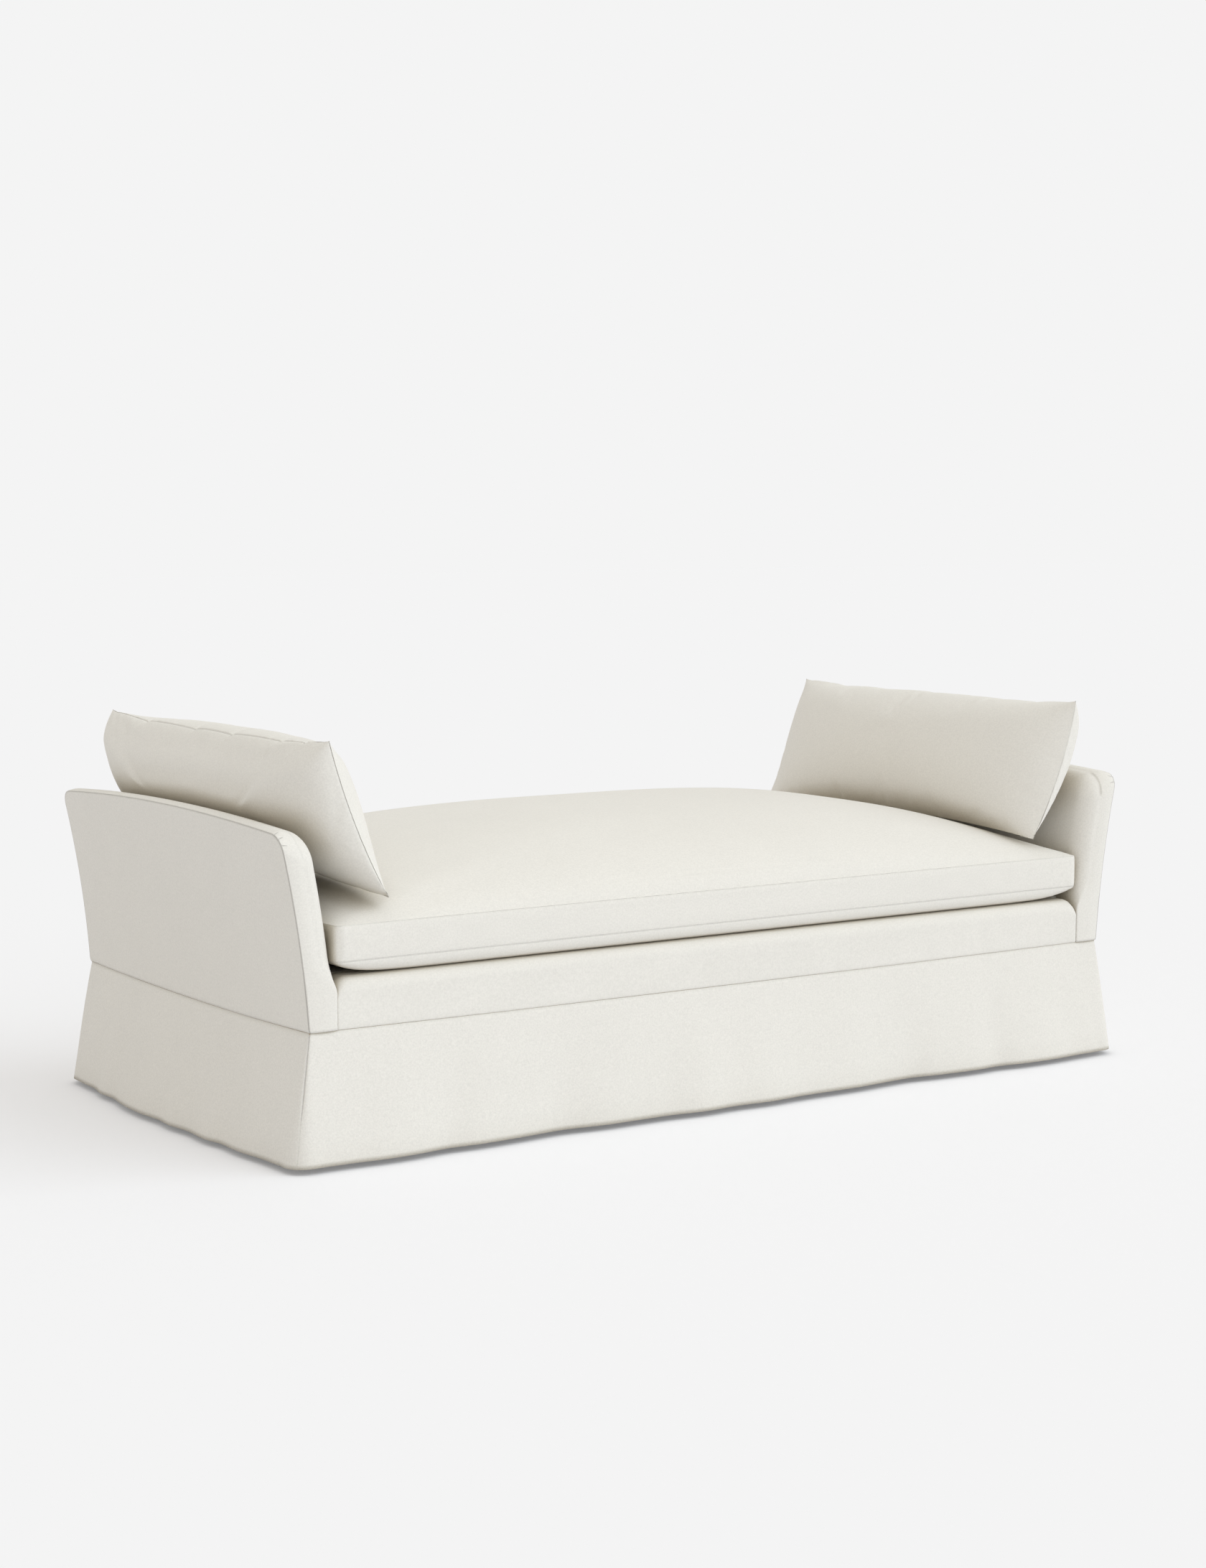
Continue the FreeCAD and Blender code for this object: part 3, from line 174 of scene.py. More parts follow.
GRAIN_THREADS = 4.2
SEAM_LINE = 0.0011
SEAM_SHADE = 0.5
SEAM_GROOVE = 0.0030
SEAM_TONE = 0.55
# Painted shade: how far the ambient occlusion node looks, the colour the cloth darkens towards, and
# the occlusion values of full and of no painted shade
PAINTED_SHADE_REACH = 0.07
PAINTED_SHADE_COLOUR = (0.66, 0.62, 0.54, 1.0)
PAINTED_SHADE_FULL_AT = 0.20
PAINTED_SHADE_NONE_AT = 0.80


class Nodes:
    """A short way to write a node tree. A value is a plain one or another node's socket."""

    def __init__(self, owner):
        owner.use_nodes = True
        self.tree = owner.node_tree
        self.tree.nodes.clear()

    def add(self, kind, values=(), **settings):
        """A node with its settings, and with values for its sockets by name or number."""
        node = self.tree.nodes.new(kind)
        for name, setting in settings.items():
            setattr(node, name, setting)
        for name, value in dict(values).items():
            if isinstance(value, bpy.types.NodeSocket):
                self.tree.links.new(value, node.inputs[name])
            else:
                node.inputs[name].default_value = value
        return node

    def place(self):
        return self.add("ShaderNodeTexCoord").outputs["Object"]

    def math(self, operation, *values):
        return self.add("ShaderNodeMath", enumerate(values), operation=operation).outputs[0]

    def noise(self, place, scale, detail, **more):
        values = {"Vector": place, "Scale": scale, "Detail": detail, **more}
        return self.add("ShaderNodeTexNoise", values, noise_dimensions="3D").outputs[0]

    def mix(self, share, first, second, blend="MIX"):
        values = {"Factor": share, FIRST: first, SECOND: second}
        node = self.add("ShaderNodeMix", values, data_type="RGBA", blend_type=blend)
        return node.outputs[RESULT]

    def range(self, values, kind="SMOOTHSTEP"):
        return self.add("ShaderNodeMapRange", values, interpolation_type=kind).outputs[0]

    def ramp(self, value, first, second):
        """Colours from one value to another, each given with its place."""
        node = self.add("ShaderNodeValToRGB", {0: value})
        for element, (position, colour) in zip(node.color_ramp.elements, (first, second)):
            element.position = position
            element.color = colour
        return node.outputs[0]

    def bump(self, height, strength, distance, **more):
        values = {"Height": height, "Strength": strength, "Distance": distance, **more}
        return self.add("ShaderNodeBump", values).outputs[0]

    def seen(self):
        """1 where the camera looks, straight or through a reflection, and 0 for other light."""
        path = self.add("ShaderNodeLightPath").outputs
        seen = self.math("MAXIMUM", path["Is Camera Ray"], path["Is Glossy Ray"])
        return self.math("MAXIMUM", seen, path["Is Transmission Ray"])

    def finish(self, shader, kind="ShaderNodeOutputMaterial"):
        self.add(kind, {0: shader.outputs[0]})


def srgb(red, green, blue):
    """A colour given in 0-255 display values, as linear values."""
    channels = []
    for value in (red, green, blue):
        share = value / 255
        dark = share <= 0.04045
        channels.append(share / 12.92 if dark else ((share + 0.055) / 1.055) ** 2.4)
    return (*channels, 1.0)


def scaled(colour, share):
    return tuple(channel * share for channel in colour[:3]) + (1.0,)


def painted_shade_tone(nodes, tone):
    """Painted shade: darken the cloth's colour towards a shade colour where another surface lies
    close to it, by an ambient occlusion node.
    """
    occlusion = nodes.add("ShaderNodeAmbientOcclusion", {"Distance": PAINTED_SHADE_REACH}, samples=4)
    near = {"Value": occlusion.outputs["AO"], "From Min": PAINTED_SHADE_FULL_AT, "From Max": PAINTED_SHADE_NONE_AT}
    shade = nodes.mix(nodes.range(near, "LINEAR"), PAINTED_SHADE_COLOUR, (1, 1, 1, 1))
    return nodes.mix(1.0, tone, shade, "MULTIPLY")


def fabric(name, colour, thread=0.0009, bump=0.45, mottle=0.15, sheen=0.2, painted_shade=False):
    """Plain woven cloth: threads, slubs, a soft mottle, darker seam lines and, when asked, painted
    shade near other surfaces.
    """
    material = bpy.data.materials.new(name)
    nodes = Nodes(material)
    place = nodes.place()
    axes = nodes.add("ShaderNodeSeparateXYZ", {0: place}).outputs
    rate = 2 * math.pi / thread
    x, y, z = (nodes.math("SINE", nodes.math("MULTIPLY", axis, rate)) for axis in axes)
    weave = nodes.math("MULTIPLY", x, z)
    weave = nodes.math("ADD", weave, nodes.math("MULTIPLY", y, z))
    weave = nodes.math("ADD", weave, nodes.math("MULTIPLY", x, y))
    weave = nodes.math("MULTIPLY_ADD", weave, 0.25, 0.5)
    grain = nodes.noise(place, 1 / (thread * GRAIN_THREADS), 4.0, Roughness=0.7)
    slubs = nodes.math("MULTIPLY", grain, 0.9)
    height = nodes.math("ADD", nodes.math("MULTIPLY", weave, 0.5), slubs)
    shade = nodes.math("MULTIPLY_ADD", grain, mottle * 2, 1 - mottle)
    patches = nodes.math("MULTIPLY_ADD", nodes.noise(place, 9.0, 2.0), 0.03, 0.985)
    shade = nodes.math("MULTIPLY", shade, patches)
    mark = nodes.add("ShaderNodeAttribute", attribute_type="GEOMETRY", attribute_name="seam_gap")
    gap = mark.outputs["Fac"]
    line = {"Value": gap, "From Max": SEAM_LINE, "To Min": SEAM_SHADE, "To Max": 0.0}
    grey = nodes.add("ShaderNodeCombineColor", {0: shade, 1: shade, 2: shade}).outputs[0]
    tone = nodes.mix(1.0, colour, grey, "MULTIPLY")
    tone = nodes.mix(nodes.range(line), tone, scaled(colour, SEAM_TONE))
    # Painted shade where another surface lies close
    if painted_shade:
        tone = painted_shade_tone(nodes, tone)
    groove = nodes.range({"Value": gap, "From Max": SEAM_GROOVE})
    valley = nodes.bump(groove, 1.0, 0.0012)
    nodes.finish(nodes.add("ShaderNodeBsdfPrincipled", {
        "Base Color": tone,
        "Roughness": 0.92,
        "Specular IOR Level": 0.2,
        "Sheen Weight": sheen,
        "Sheen Roughness": 0.6,
        "Normal": nodes.bump(height, bump, 0.0006, Normal=valley),
    }))
    return material


def hard_surface(nodes, tone, grain, rough, bump, metallic=0.0):
    """A surface whose grain shows in its relief and varies its gloss about a roughness."""
    nodes.finish(nodes.add("ShaderNodeBsdfPrincipled", {
        "Base Color": tone,
        "Metallic": metallic,
        "Roughness": nodes.math("MULTIPLY_ADD", grain, 0.2, rough - 0.1),
        "Normal": nodes.bump(grain, *bump),
    }))


def timber(name, light, dark, ring=14.0, gloss=0.55):
    """Sawn timber: long grain along the length of the part, with pores and growth rings."""
    material = bpy.data.materials.new(name)
    nodes = Nodes(material)
    along = {"Vector": nodes.place(), "Scale": (0.08, 1.0, 1.0)}
    stretch = nodes.add("ShaderNodeMapping", along).outputs[0]
    rings = nodes.noise(stretch, ring, 5.0, Distortion=1.5)
    pores = nodes.noise(stretch, 420.0, 2.0)
    tone = nodes.ramp(rings, (0.35, dark), (0.65, light))
    hard_surface(nodes, tone, pores, gloss, (0.3, 0.0004))
    return material


def grained(name, colour, scale, contrast, roughness, metallic=0.0, bump=0.2):
    """Metal, plastic or foam: an even colour broken by fine grain in tone, relief and gloss."""
    material = bpy.data.materials.new(name)
    nodes = Nodes(material)
    grain = nodes.noise(nodes.place(), scale, 4.0)
    tone = nodes.ramp(grain, (0.3, scaled(colour, 1 - contrast)), (0.7, colour))
    hard_surface(nodes, tone, grain, roughness, (bump, 0.0005), metallic)
    return material


IVORY = srgb(240, 237, 231)

# The cover and skirt cloths carry painted shade near other surfaces
linen = fabric("ivory_linen", IVORY, painted_shade=True)
skirt_linen = fabric("ivory_skirt_linen", IVORY, mottle=0.17, painted_shade=True)
deck_cloth = fabric("deck_lining", srgb(231, 227, 217), thread=0.0014, bump=0.4, sheen=0.1)
dust_cloth = fabric("black_dust_cloth", srgb(38, 38, 40), thread=0.0016, mottle=0.2, sheen=0.05)
tape_cloth = fabric("zip_tape_weave", srgb(226, 221, 208), thread=0.0007, bump=0.5, mottle=0.08)

finishes = {
    "cover_linen": linen,
    "skirt_linen": skirt_linen,
    "deck_cloth": deck_cloth,
    "dust_cloth": dust_cloth,
    "zip_tape": tape_cloth,
    "frame_timber": timber("pale_timber", srgb(206, 176, 134), srgb(176, 140, 98)),
    "leg_timber": timber("dark_leg_timber", srgb(92, 66, 44), srgb(58, 39, 26), gloss=0.4),
    "plywood": timber("birch_plywood", srgb(219, 194, 152), srgb(190, 158, 112), ring=30.0),
    "foam": grained("seat_foam", srgb(236, 227, 190), 900.0, 0.10, 0.9, bump=0.6),
    "wadding": grained("white_wadding", srgb(240, 240, 236), 260.0, 0.06, 0.95, bump=0.8),
    "felt": grained("grey_felt", srgb(120, 116, 112), 500.0, 0.35, 0.95, bump=0.8),
    "spring_steel": grained("spring_wire", srgb(140, 141, 144), 300.0, 0.25, 0.35, metallic=1.0),
    "zinc_steel": grained("zinc_plate", srgb(190, 191, 192), 180.0, 0.15, 0.4, metallic=1.0),
    "glide_plastic": grained("black_glide", srgb(34, 34, 34), 700.0, 0.2, 0.5),
    "zip_metal": grained("brass_zip", srgb(196, 170, 118), 600.0, 0.15, 0.35, metallic=1.0),
}


# Ends: the same faces as the construction, with rounded inner edges and a seam on the outer edge

ARM_KNEE = 0.372
ARM_INNER = 0.952
ARM_INNER_LEAN = 0.1224
ARM_INNER_CURL = 0.147
ARM_OUTER_LEAN = 0.068
ARM_OUTER_CURL = 0.223
ARM_UNEVEN = 0.0012
FREE_START = 0.335
FREE_RISE = 0.07
ARM_SEAM_MIDDLE = 0.6605
ARM_ARCH = 0.018
SEAM_CORNER = 0.035
INNER_CORNER = 0.056
INNER_BAND = 0.046
ARM_ROUND = 0.036
INNER_LOOP = 0.062
TOP_CROWN = 0.008
CROWN_SHARE = 0.6
STRIP_SPREAD = 1.7
ARM_ROWS = 44
SEAM_ROWS = (0.016, 0.009, 0.0035)
ARM_COLUMNS = 110
CORNER_COLUMNS = 20
STRIP_LEVELS = 12
ROUND_LEVELS = 16
WAIST_CURL = 0.002
CURL_HEIGHT = 0.008
PLEATS = (6, 11, 16)
PLEAT_LENGTH = 0.015
PLEAT_DEPTH = 0.0012


def arm_inner(height):
    rise = max(height - ARM_KNEE, 0.0)
    return ARM_INNER + ARM_INNER_LEAN * rise + ARM_INNER_CURL * rise ** 2


def arm_outer(height):
    rise = max(height - WAIST, 0.0)
    return HALF_WAIST + ARM_OUTER_LEAN * rise + ARM_OUTER_CURL * rise ** 2


def arm_top(depth):
    return ARM_SEAM_MIDDLE - ARM_ARCH * (depth / HALF_DEPTH) ** 2


def end_waist(depth):
    """The seam above the skirt hangs a little low between the corners of an end."""
    return WAIST - END_SAG * (1 - (depth / HALF_DEPTH) ** 2)


def arm_columns():
    """Depth of each column and the top of the outer panel there, with rounded corners."""
    flat = HALF_DEPTH - SEAM_CORNER
    centre = arm_top(flat) - SEAM_CORNER
    columns = []
    for number in range(CORNER_COLUMNS):
        turn = math.pi / 2 * number / CORNER_COLUMNS
        depth = -flat - SEAM_CORNER * math.cos(turn)
        columns.append((depth, centre + SEAM_CORNER * math.sin(turn)))
    columns += [(depth, arm_top(depth)) for depth in spread(-flat, flat, ARM_COLUMNS, 0.2)]
    columns += [(-depth, height) for depth, height in reversed(columns[:CORNER_COLUMNS])]
    return columns


def edge_distance(depth, height, corner):
    """Distance inside the outline of an end, whose top corners have the given radius."""
    across = HALF_DEPTH - abs(depth)
    below = arm_top(depth) - height
    if across < corner and below < corner:
        return corner - math.hypot(corner - across, corner - below)
    return min(across, below)


def free_share(height):
    """From 0 beside the bands to 1 where an end stands free and its edge is rounded."""
    return smooth_step((height - FREE_START) / FREE_RISE)


def inner_surface(depth, height):
    """The inner face of the right end, which rounds over towards the front, top and back."""
    fullness = 1 - edge_distance(depth, height, INNER_CORNER) / INNER_BAND
    fullness = min(max(fullness, 0.0), 1.0)
    turn = ARM_ROUND * free_share(height) * (1 - math.sqrt(max(0.0, 1 - fullness ** 2)))
    dent = ARM_UNEVEN * soft_noise((depth, height, 0.3), 0.16, 2)
    return arm_inner(height) + turn + dent * (1 - fullness)


def outer_surface(depth, height, waist):
    """The outer face of the right end, which turns in a little at the waist seam."""
    curl = max(0.0, 1 - (height - waist) / CURL_HEIGHT)
    swell = ARM_UNEVEN * soft_noise((depth, height, 0.0), 0.22, 1)
    inside = min(edge_distance(depth, height, SEAM_CORNER) / 0.03, 1.0)
    return arm_outer(height) + swell * inside - WAIST_CURL * curl ** 2


def arm_cover():
    """Cover of the right end: outer panel, the strip along its edge and the inner panel."""
    shell = Shell()
    columns = arm_columns()
    rows = spread(0.0, 1 - SEAM_ROWS[0], ARM_ROWS, 0.3)
    rows += [1 - share for share in SEAM_ROWS[1:]] + [1.0]
    outer = []
    for share in rows:
        line = []
        for depth, top in columns:
            waist = end_waist(depth)
            height = mix(waist, top, share)
            gap = edge_distance(depth, height, SEAM_CORNER)
            line.append(shell.add((outer_surface(depth, height, waist), depth, height), gap))
        outer.append(line)
    last = len(rows) - 1
    loop = [(row, 0) for row in range(last + 1)]
    loop += [(last, column) for column in range(1, len(columns) - 1)]
    loop += [(row, len(columns) - 1) for row in range(last, -1, -1)]
    side_shrink = (HALF_DEPTH - INNER_LOOP) / HALF_DEPTH
    inner = []
    for share in rows:
        line = []
        for depth, top in columns:
            across = depth * side_shrink
            waist = end_waist(depth)
            height = mix(waist, mix(top, arm_top(across), 0.6) - INNER_LOOP, share)
            line.append(shell.add((inner_surface(across, height), across, height)))
        inner.append(line)
    levels = STRIP_LEVELS + ROUND_LEVELS
    ring = [[outer[row][column] for row, column in loop]]
    for level in range(1, levels):
        line = []
        for row, column in loop:
            start = Vector(shell.points[outer[row][column]])
            end = Vector(shell.points[inner[row][column]])
            point = strip_point(start, end, level)
            gap = (point - start).length
            if min(column, len(columns) - 1 - column) in PLEATS and gap < PLEAT_LENGTH:
                fade = 1 - gap / PLEAT_LENGTH
                point -= PLEAT_DEPTH * fade * Vector((0, math.copysign(0.7, point.y), 0.7))
                gap = SEAM_LINE * 0.5 * (1 - fade)
            line.append(shell.add(point, gap))
        ring.append(line)
    ring.append([inner[row][column] for row, column in loop])
    shell.grid(outer)
    shell.grid(inner)
    shell.grid(ring)
    bottom = [outer[0]]
    for level in range(1, levels):
        start, end = ring[level][0], ring[level][-1]
        share = level / levels
        line = [start]
        for column in range(1, len(columns) - 1):
            low = Vector(shell.points[outer[0][column]])
            high = Vector(shell.points[inner[0][column]])
            line.append(shell.add(low.lerp(high, share)))
        line.append(end)
        bottom.append(line)
    bottom.append(inner[0])
    shell.grid(bottom)
    return shell


def strip_point(start, end, level):
    """A point of the strip between the outer seam and the inner panel, beside one loop point."""
    sign = -1 if start.y < 0 else 1
    flat = HALF_DEPTH - SEAM_CORNER
    wide = HALF_DEPTH - INNER_CORNER
    height = start.z
    depth = start.y
    corner_base = arm_top(flat) - SEAM_CORNER
    if abs(depth) >= flat - 1e-6 and height > corner_base:
        turn = math.atan2(height - corner_base, abs(depth) - flat)
        edge_depth = sign * (wide + INNER_CORNER * math.cos(turn))
        edge_height = arm_top(wide) - INNER_CORNER + INNER_CORNER * math.sin(turn)
    elif abs(depth) >= HALF_DEPTH - 1e-4:
        edge_depth = depth
        rise = arm_top(wide) - INNER_CORNER - WAIST
        edge_height = WAIST + (height - WAIST) * rise / (corner_base - WAIST)
    else:
        edge_depth = depth * wide / flat
        edge_height = arm_top(edge_depth)
    if level <= STRIP_LEVELS:
        share = level / STRIP_LEVELS
        crown = TOP_CROWN * 4 * share * (1 - share) * CROWN_SHARE
        across = mix(depth, edge_depth, share)
        up = mix(height, edge_height, share)
        edge_x = arm_inner(edge_height) + ARM_ROUND * free_share(edge_height)
        point = Vector((mix(start.x, edge_x, share), across, up))
        on_top = smooth_step((height - corner_base) / SEAM_CORNER)
        point.z += crown * on_top
        point.y += sign * crown * 0.5 * (1 - on_top)
        return point
    share = (level - STRIP_LEVELS) / ROUND_LEVELS
    eased = share ** STRIP_SPREAD
    across = mix(edge_depth, end.y, eased)
    up = mix(edge_height, end.z, eased)
    return Vector((inner_surface(across, up), across, up))


# Cushions: places from edge to edge, closer together where a panel turns down to its seam

TURN = 0.06
EDGE_STEPS = (0.0, 0.0016, 0.004, 0.008, 0.013, 0.020)
CLOTH_FRAMES = 12
CLOTH_PRESSURE = 4.0
CLOTH_EASE = -0.004
CLOTH_QUALITY = 6
CLOTH_BENDING = 1.0


def arc_length(distance):
    """Way over the panel from the seam to a place at this distance inside it."""
    if distance < TURN / 2:
        return math.sqrt(max(2 * TURN * distance, 0.0))
    return distance + TURN / 2


def seam_places(half, step):
    """Places from -half to half, evenly spaced over a panel that turns down at both seams."""
    total = half + TURN / 2
    count = max(2, round((total - EDGE_STEPS[-1]) / step))
    ways = list(EDGE_STEPS)
    ways += [mix(EDGE_STEPS[-1], total, number / count) for number in range(1, count + 1)]
    inside = [way ** 2 / (2 * TURN) if way < TURN else way - TURN / 2 for way in ways]
    left = [distance - half for distance in inside[:-1]] + [0.0]
    return left + [-place for place in reversed(left[:-1])]


def evaluated(item):
    return item.evaluated_get(bpy.context.evaluated_depsgraph_get())


def inflate(item, pinned, cap):
    """Blow a cover up a little, as its filling does, with its seams held in place."""
    mesh = item.data
    start = np.empty(len(mesh.vertices) * 3)
    mesh.vertices.foreach_get("co", start)
    group = item.vertex_groups.new(name="held")
    group.add(pinned, 1.0, "REPLACE")
    cloth = item.modifiers.new("cloth", "CLOTH")
    settings = cloth.settings
    settings.use_pressure = True
    settings.uniform_pressure_force = CLOTH_PRESSURE
    settings.effector_weights.gravity = 0.0
    settings.vertex_group_mass = "held"
    settings.shrink_min = settings.shrink_max = CLOTH_EASE
    settings.quality = CLOTH_QUALITY
    settings.bending_stiffness = CLOTH_BENDING
    cloth.collision_settings.use_collision = False
    cloth.point_cache.frame_start = 1
    cloth.point_cache.frame_end = CLOTH_FRAMES
    scene = bpy.context.scene
    for number in range(1, CLOTH_FRAMES + 1):
        scene.frame_set(number)
    solved = evaluated(item).to_mesh()
    end = np.empty(len(start))
    solved.vertices.foreach_get("co", end)
    item.modifiers.clear()
    item.vertex_groups.clear()
    scene.frame_set(1)
    moves = (end - start).reshape(-1, 3)
    lengths = np.linalg.norm(moves, axis=1, keepdims=True)
    moves *= np.minimum(1.0, cap / np.maximum(lengths, 1e-9))
    mesh.vertices.foreach_set("co", start + moves.ravel())
    mesh.update()


def subdivided(item):
    """One level of subdivision, applied."""
    item.modifiers.new("finer", "SUBSURF").levels = 1
    finer = bpy.data.meshes.new_from_object(evaluated(item))
    item.modifiers.clear()
    item.data = finer


# Seat cushion: boxed form with a high crown and a curved border under its lower seam

SEAT_HALF_LENGTH = seat_high.x
SEAT_HALF_DEPTH = 0.503
SEAT_UPPER_SEAM = 0.464
SEAT_LOWER_SEAM = 0.394
SEAT_LIFT = 0.0016
SEAT_BOTTOM = DECK + SEAT_LIFT
SEAT_FLOOR_EDGE = 0.004
SEAT_FLOOR_POWER = 21
SEAT_WAIST = 0.003
SEAT_UNEVEN = 0.0015
SEAT_CROWN = 0.1395
SEAT_SEAM_EASE = 0.0005
SEAT_CORNER = 0.014
SEAT_STEP = 0.014
SEAT_CAP = 0.003
BOXING_LEVELS = (0.0, 0.022, 0.06, 0.13, 0.3, 0.5, 0.7, 0.87, 0.94, 0.978, 1.0)
BOXING_BULGE = 0.0022
BORDER = 0.024


def seat_top(across, up):
    """Height of the crown at shares of the half length and half depth."""
    crown = (1 - abs(across) ** 3) ** 0.8 * (1 - abs(up) ** 2.6) ** 0.6
    return SEAT_UPPER_SEAM + SEAT_CROWN * crown


def seat_floor(along):
    """Height of the underside, which curves up at both ends."""
    rise = SEAT_LOWER_SEAM - SEAT_BOTTOM - SEAT_FLOOR_EDGE
    return SEAT_BOTTOM + rise * (abs(along) / SEAT_HALF_LENGTH) ** SEAT_FLOOR_POWER


def seat_plan(across, up):
    """A point of the plan from shares -1 to 1 both ways, with rounded corners."""
    half_x = SEAT_HALF_LENGTH
    half_y = SEAT_HALF_DEPTH - SEAT_WAIST * (1 - across ** 4)
    x, y = half_x * across, half_y * up
    over_x = max(0.0, abs(x) - (half_x - SEAT_CORNER))
    over_y = max(0.0, abs(y) - (half_y - SEAT_CORNER))
    if over_x > 0 and over_y > 0:
        scale = max(over_x, over_y) / math.hypot(over_x, over_y)
        x = math.copysign(half_x - SEAT_CORNER + over_x * scale, x)
        y = math.copysign(half_y - SEAT_CORNER + over_y * scale, y)
    return x, y


def outline_loop(grid):
    """The point numbers round a grid, closed."""
    loop = list(grid[0]) + [line[-1] for line in grid[1:]]
    loop += list(reversed(grid[-1]))[1:] + [line[0] for line in reversed(grid[1:-1])]
    return loop + [grid[0][0]]


def seat_cushion():
    """Crown, boxing and underside as one shell, and the numbers of the points held in place."""
    shell = Shell()
    columns = [place / SEAT_HALF_LENGTH for place in seam_places(SEAT_HALF_LENGTH, SEAT_STEP)]
    rows = [place / SEAT_HALF_DEPTH for place in seam_places(SEAT_HALF_DEPTH, SEAT_STEP)]
    top, bottom = [], []
    for up in rows:
        line, under = [], []
        for across in columns:
            x, y = seat_plan(across, up)
            from_end, from_front = 1 - abs(across), 1 - abs(up)
            inside = min(from_end * SEAT_HALF_LENGTH, from_front * SEAT_HALF_DEPTH)
            gap = arc_length(inside) + SEAT_SEAM_EASE
            swell = SEAT_UNEVEN * soft_noise((x, y, 0), 0.3, 3) * min(inside / 0.1, 1.0)
            line.append(shell.add((x, y, seat_top(across, up) + swell), gap))
            curve = 1 - math.sqrt(1 - (1 - min(inside / BORDER, 1.0)) ** 2)
            under.append(shell.add((x, y, mix(seat_floor(x), SEAT_LOWER_SEAM, curve)), gap))
        top.append(line)
        bottom.append(under)
    upper, lower = outline_loop(top), outline_loop(bottom)
    levels = [lower]
    tall = SEAT_UPPER_SEAM - SEAT_LOWER_SEAM
    for share in BOXING_LEVELS[1:-1]:
        line = []
        for low, high in zip(lower[:-1], upper[:-1]):
            point = Vector(shell.points[low]).lerp(Vector(shell.points[high]), share)
            out = Vector((0, math.copysign(1, point.y), 0))
            if SEAT_HALF_LENGTH - abs(point.x) < 0.006:
                out = Vector((math.copysign(1, point.x), 0, 0))
            flat = point.y > 0.45 and abs(point.x) < zip_high.x + 0.03
            bulge = 0.0 if flat else BOXING_BULGE * (1 - (2 * share - 1) ** 6)
            line.append(shell.add(point + out * bulge, min(share, 1 - share) * tall))
        line.append(line[0])
        levels.append(line)
    levels.append(upper)
    shell.grid(levels)
    shell.grid(top)
    shell.grid(bottom)
    return shell, sorted({number for line in bottom + levels for number in line})


# Bolsters: two panels with one seam round them, leaning against the ends

BOLSTER_SHIFT = 0.003
BOLSTER_HALF = 0.491
BOLSTER_TALL = 0.165
BOLSTER_LOW = (0.830, 0.509)
BOLSTER_HIGH = (0.955, 0.814)
LOW_RISE = 0.021
HIGH_SAG = 0.011
BOLSTER_PULL = -0.003
BOLSTER_BOW = 0.012
TOP_BOW = 0.009
BOLSTER_STEP = 0.0085
BOLSTER_CAP = 0.010
BOLSTER_START = 0.95
BOLSTER_SECTION = (2.2, 0.55)
# For each side: full thickness, power and root of its fall to the ends, and its fullest height
SEAT_SIDE = (0.113, 2.6, 0.70, 0.30)
END_SIDE = (0.102, 6.0, 0.45, 0.45)
TOP_START = 0.70
TOP_RISE = 0.06
ARCH_HEIGHT = 0.0052
ARCH_FADE = 0.022
CREASE_LENGTH = 0.050
CREASE_WIDTH = 0.0045
CREASE_DEPTH = 0.0034
CREASE_SLANT = 0.55
GROOVE_WIDTH = 0.0022
GROOVE_DEPTH = 0.0014
RIGHT_PUCKERS = (0.47, 0.3202, 0.1307, -0.0332, -0.2634, -0.3622, -0.46)
LEFT_PUCKERS = (0.46, 0.2965, 0.0687, -0.0975, -0.3100, -0.4040, -0.47)


def bolster_seam(across, up):
    """A point between the seams of the right bolster, and the way out towards the end."""
    pull = BOLSTER_PULL * (1 - up ** 2) * abs(across) ** 3
    depth = BOLSTER_SHIFT + across * (BOLSTER_HALF - pull)
    low = Vector((BOLSTER_LOW[0], depth, BOLSTER_LOW[1] + LOW_RISE * (1 - across ** 2)))
    high = Vector((BOLSTER_HIGH[0], depth, BOLSTER_HIGH[1] - HIGH_SAG * (1 - across ** 4)))
    middle = low.lerp(high, (up + 1) / 2)
    slope = (high - low).normalized()
    outward = Vector((slope.z, 0, -slope.x))
    bow = BOLSTER_BOW * (1 - up ** 2) * abs(across) ** 6
    bow += TOP_BOW * (1 - across ** 6) * smooth_step(up * 2 - 1)
    return middle + outward * bow, outward


def bolster_half(across, up, side):
    """Half thickness at a place, seat side -1 or end side 1."""
    full, power, root, rise = SEAT_SIDE if side < 0 else END_SIDE
    swell = max(1 - abs(across) ** power, 0.0) ** root
    place = (up - rise) / (1 - rise * up)
    section = max(1 - abs(place) ** BOLSTER_SECTION[0], 0.0) ** BOLSTER_SECTION[1]
    return full * swell * section


def bolster_cover():
    """Both panels of the right bolster, and the numbers of the points on their seam."""
    shell = Shell()
    columns = seam_places(BOLSTER_HALF, BOLSTER_STEP)
    rows = seam_places(BOLSTER_TALL, BOLSTER_STEP)
    near, far, held = [], [], []
    for height in rows:
        front, back = [], []
        for place in columns:
            across, up = place / BOLSTER_HALF, height / BOLSTER_TALL
            middle, outward = bolster_seam(across, up)
            inside = min(BOLSTER_HALF - abs(place), BOLSTER_TALL - abs(height))
            if inside < 1e-6:
                number = shell.add(middle, 0.0)
                held.append(number)
                front.append(number)
                back.append(number)
                continue
            gap = arc_length(inside)
            for side, line in ((-1, front), (1, back)):
                half = bolster_half(across, up, side) * BOLSTER_START
                line.append(shell.add(middle + outward * half * side, gap))
        near.append(front)
        far.append(back)
    shell.grid(near)
    shell.grid(far)
    return shell, held


def seam_arch(depth, puckers):
    """Rise of the top seam between its puckers, from 0 to 1, steeper on the far side."""
    for far, near in zip(puckers, puckers[1:]):
        if near <= depth <= far:
            share = (far - depth) / (far - near)
            return math.sin(math.pi * share ** 0.75) ** 0.7 * min((far - near) / 0.18, 1.0)
    return 0.0


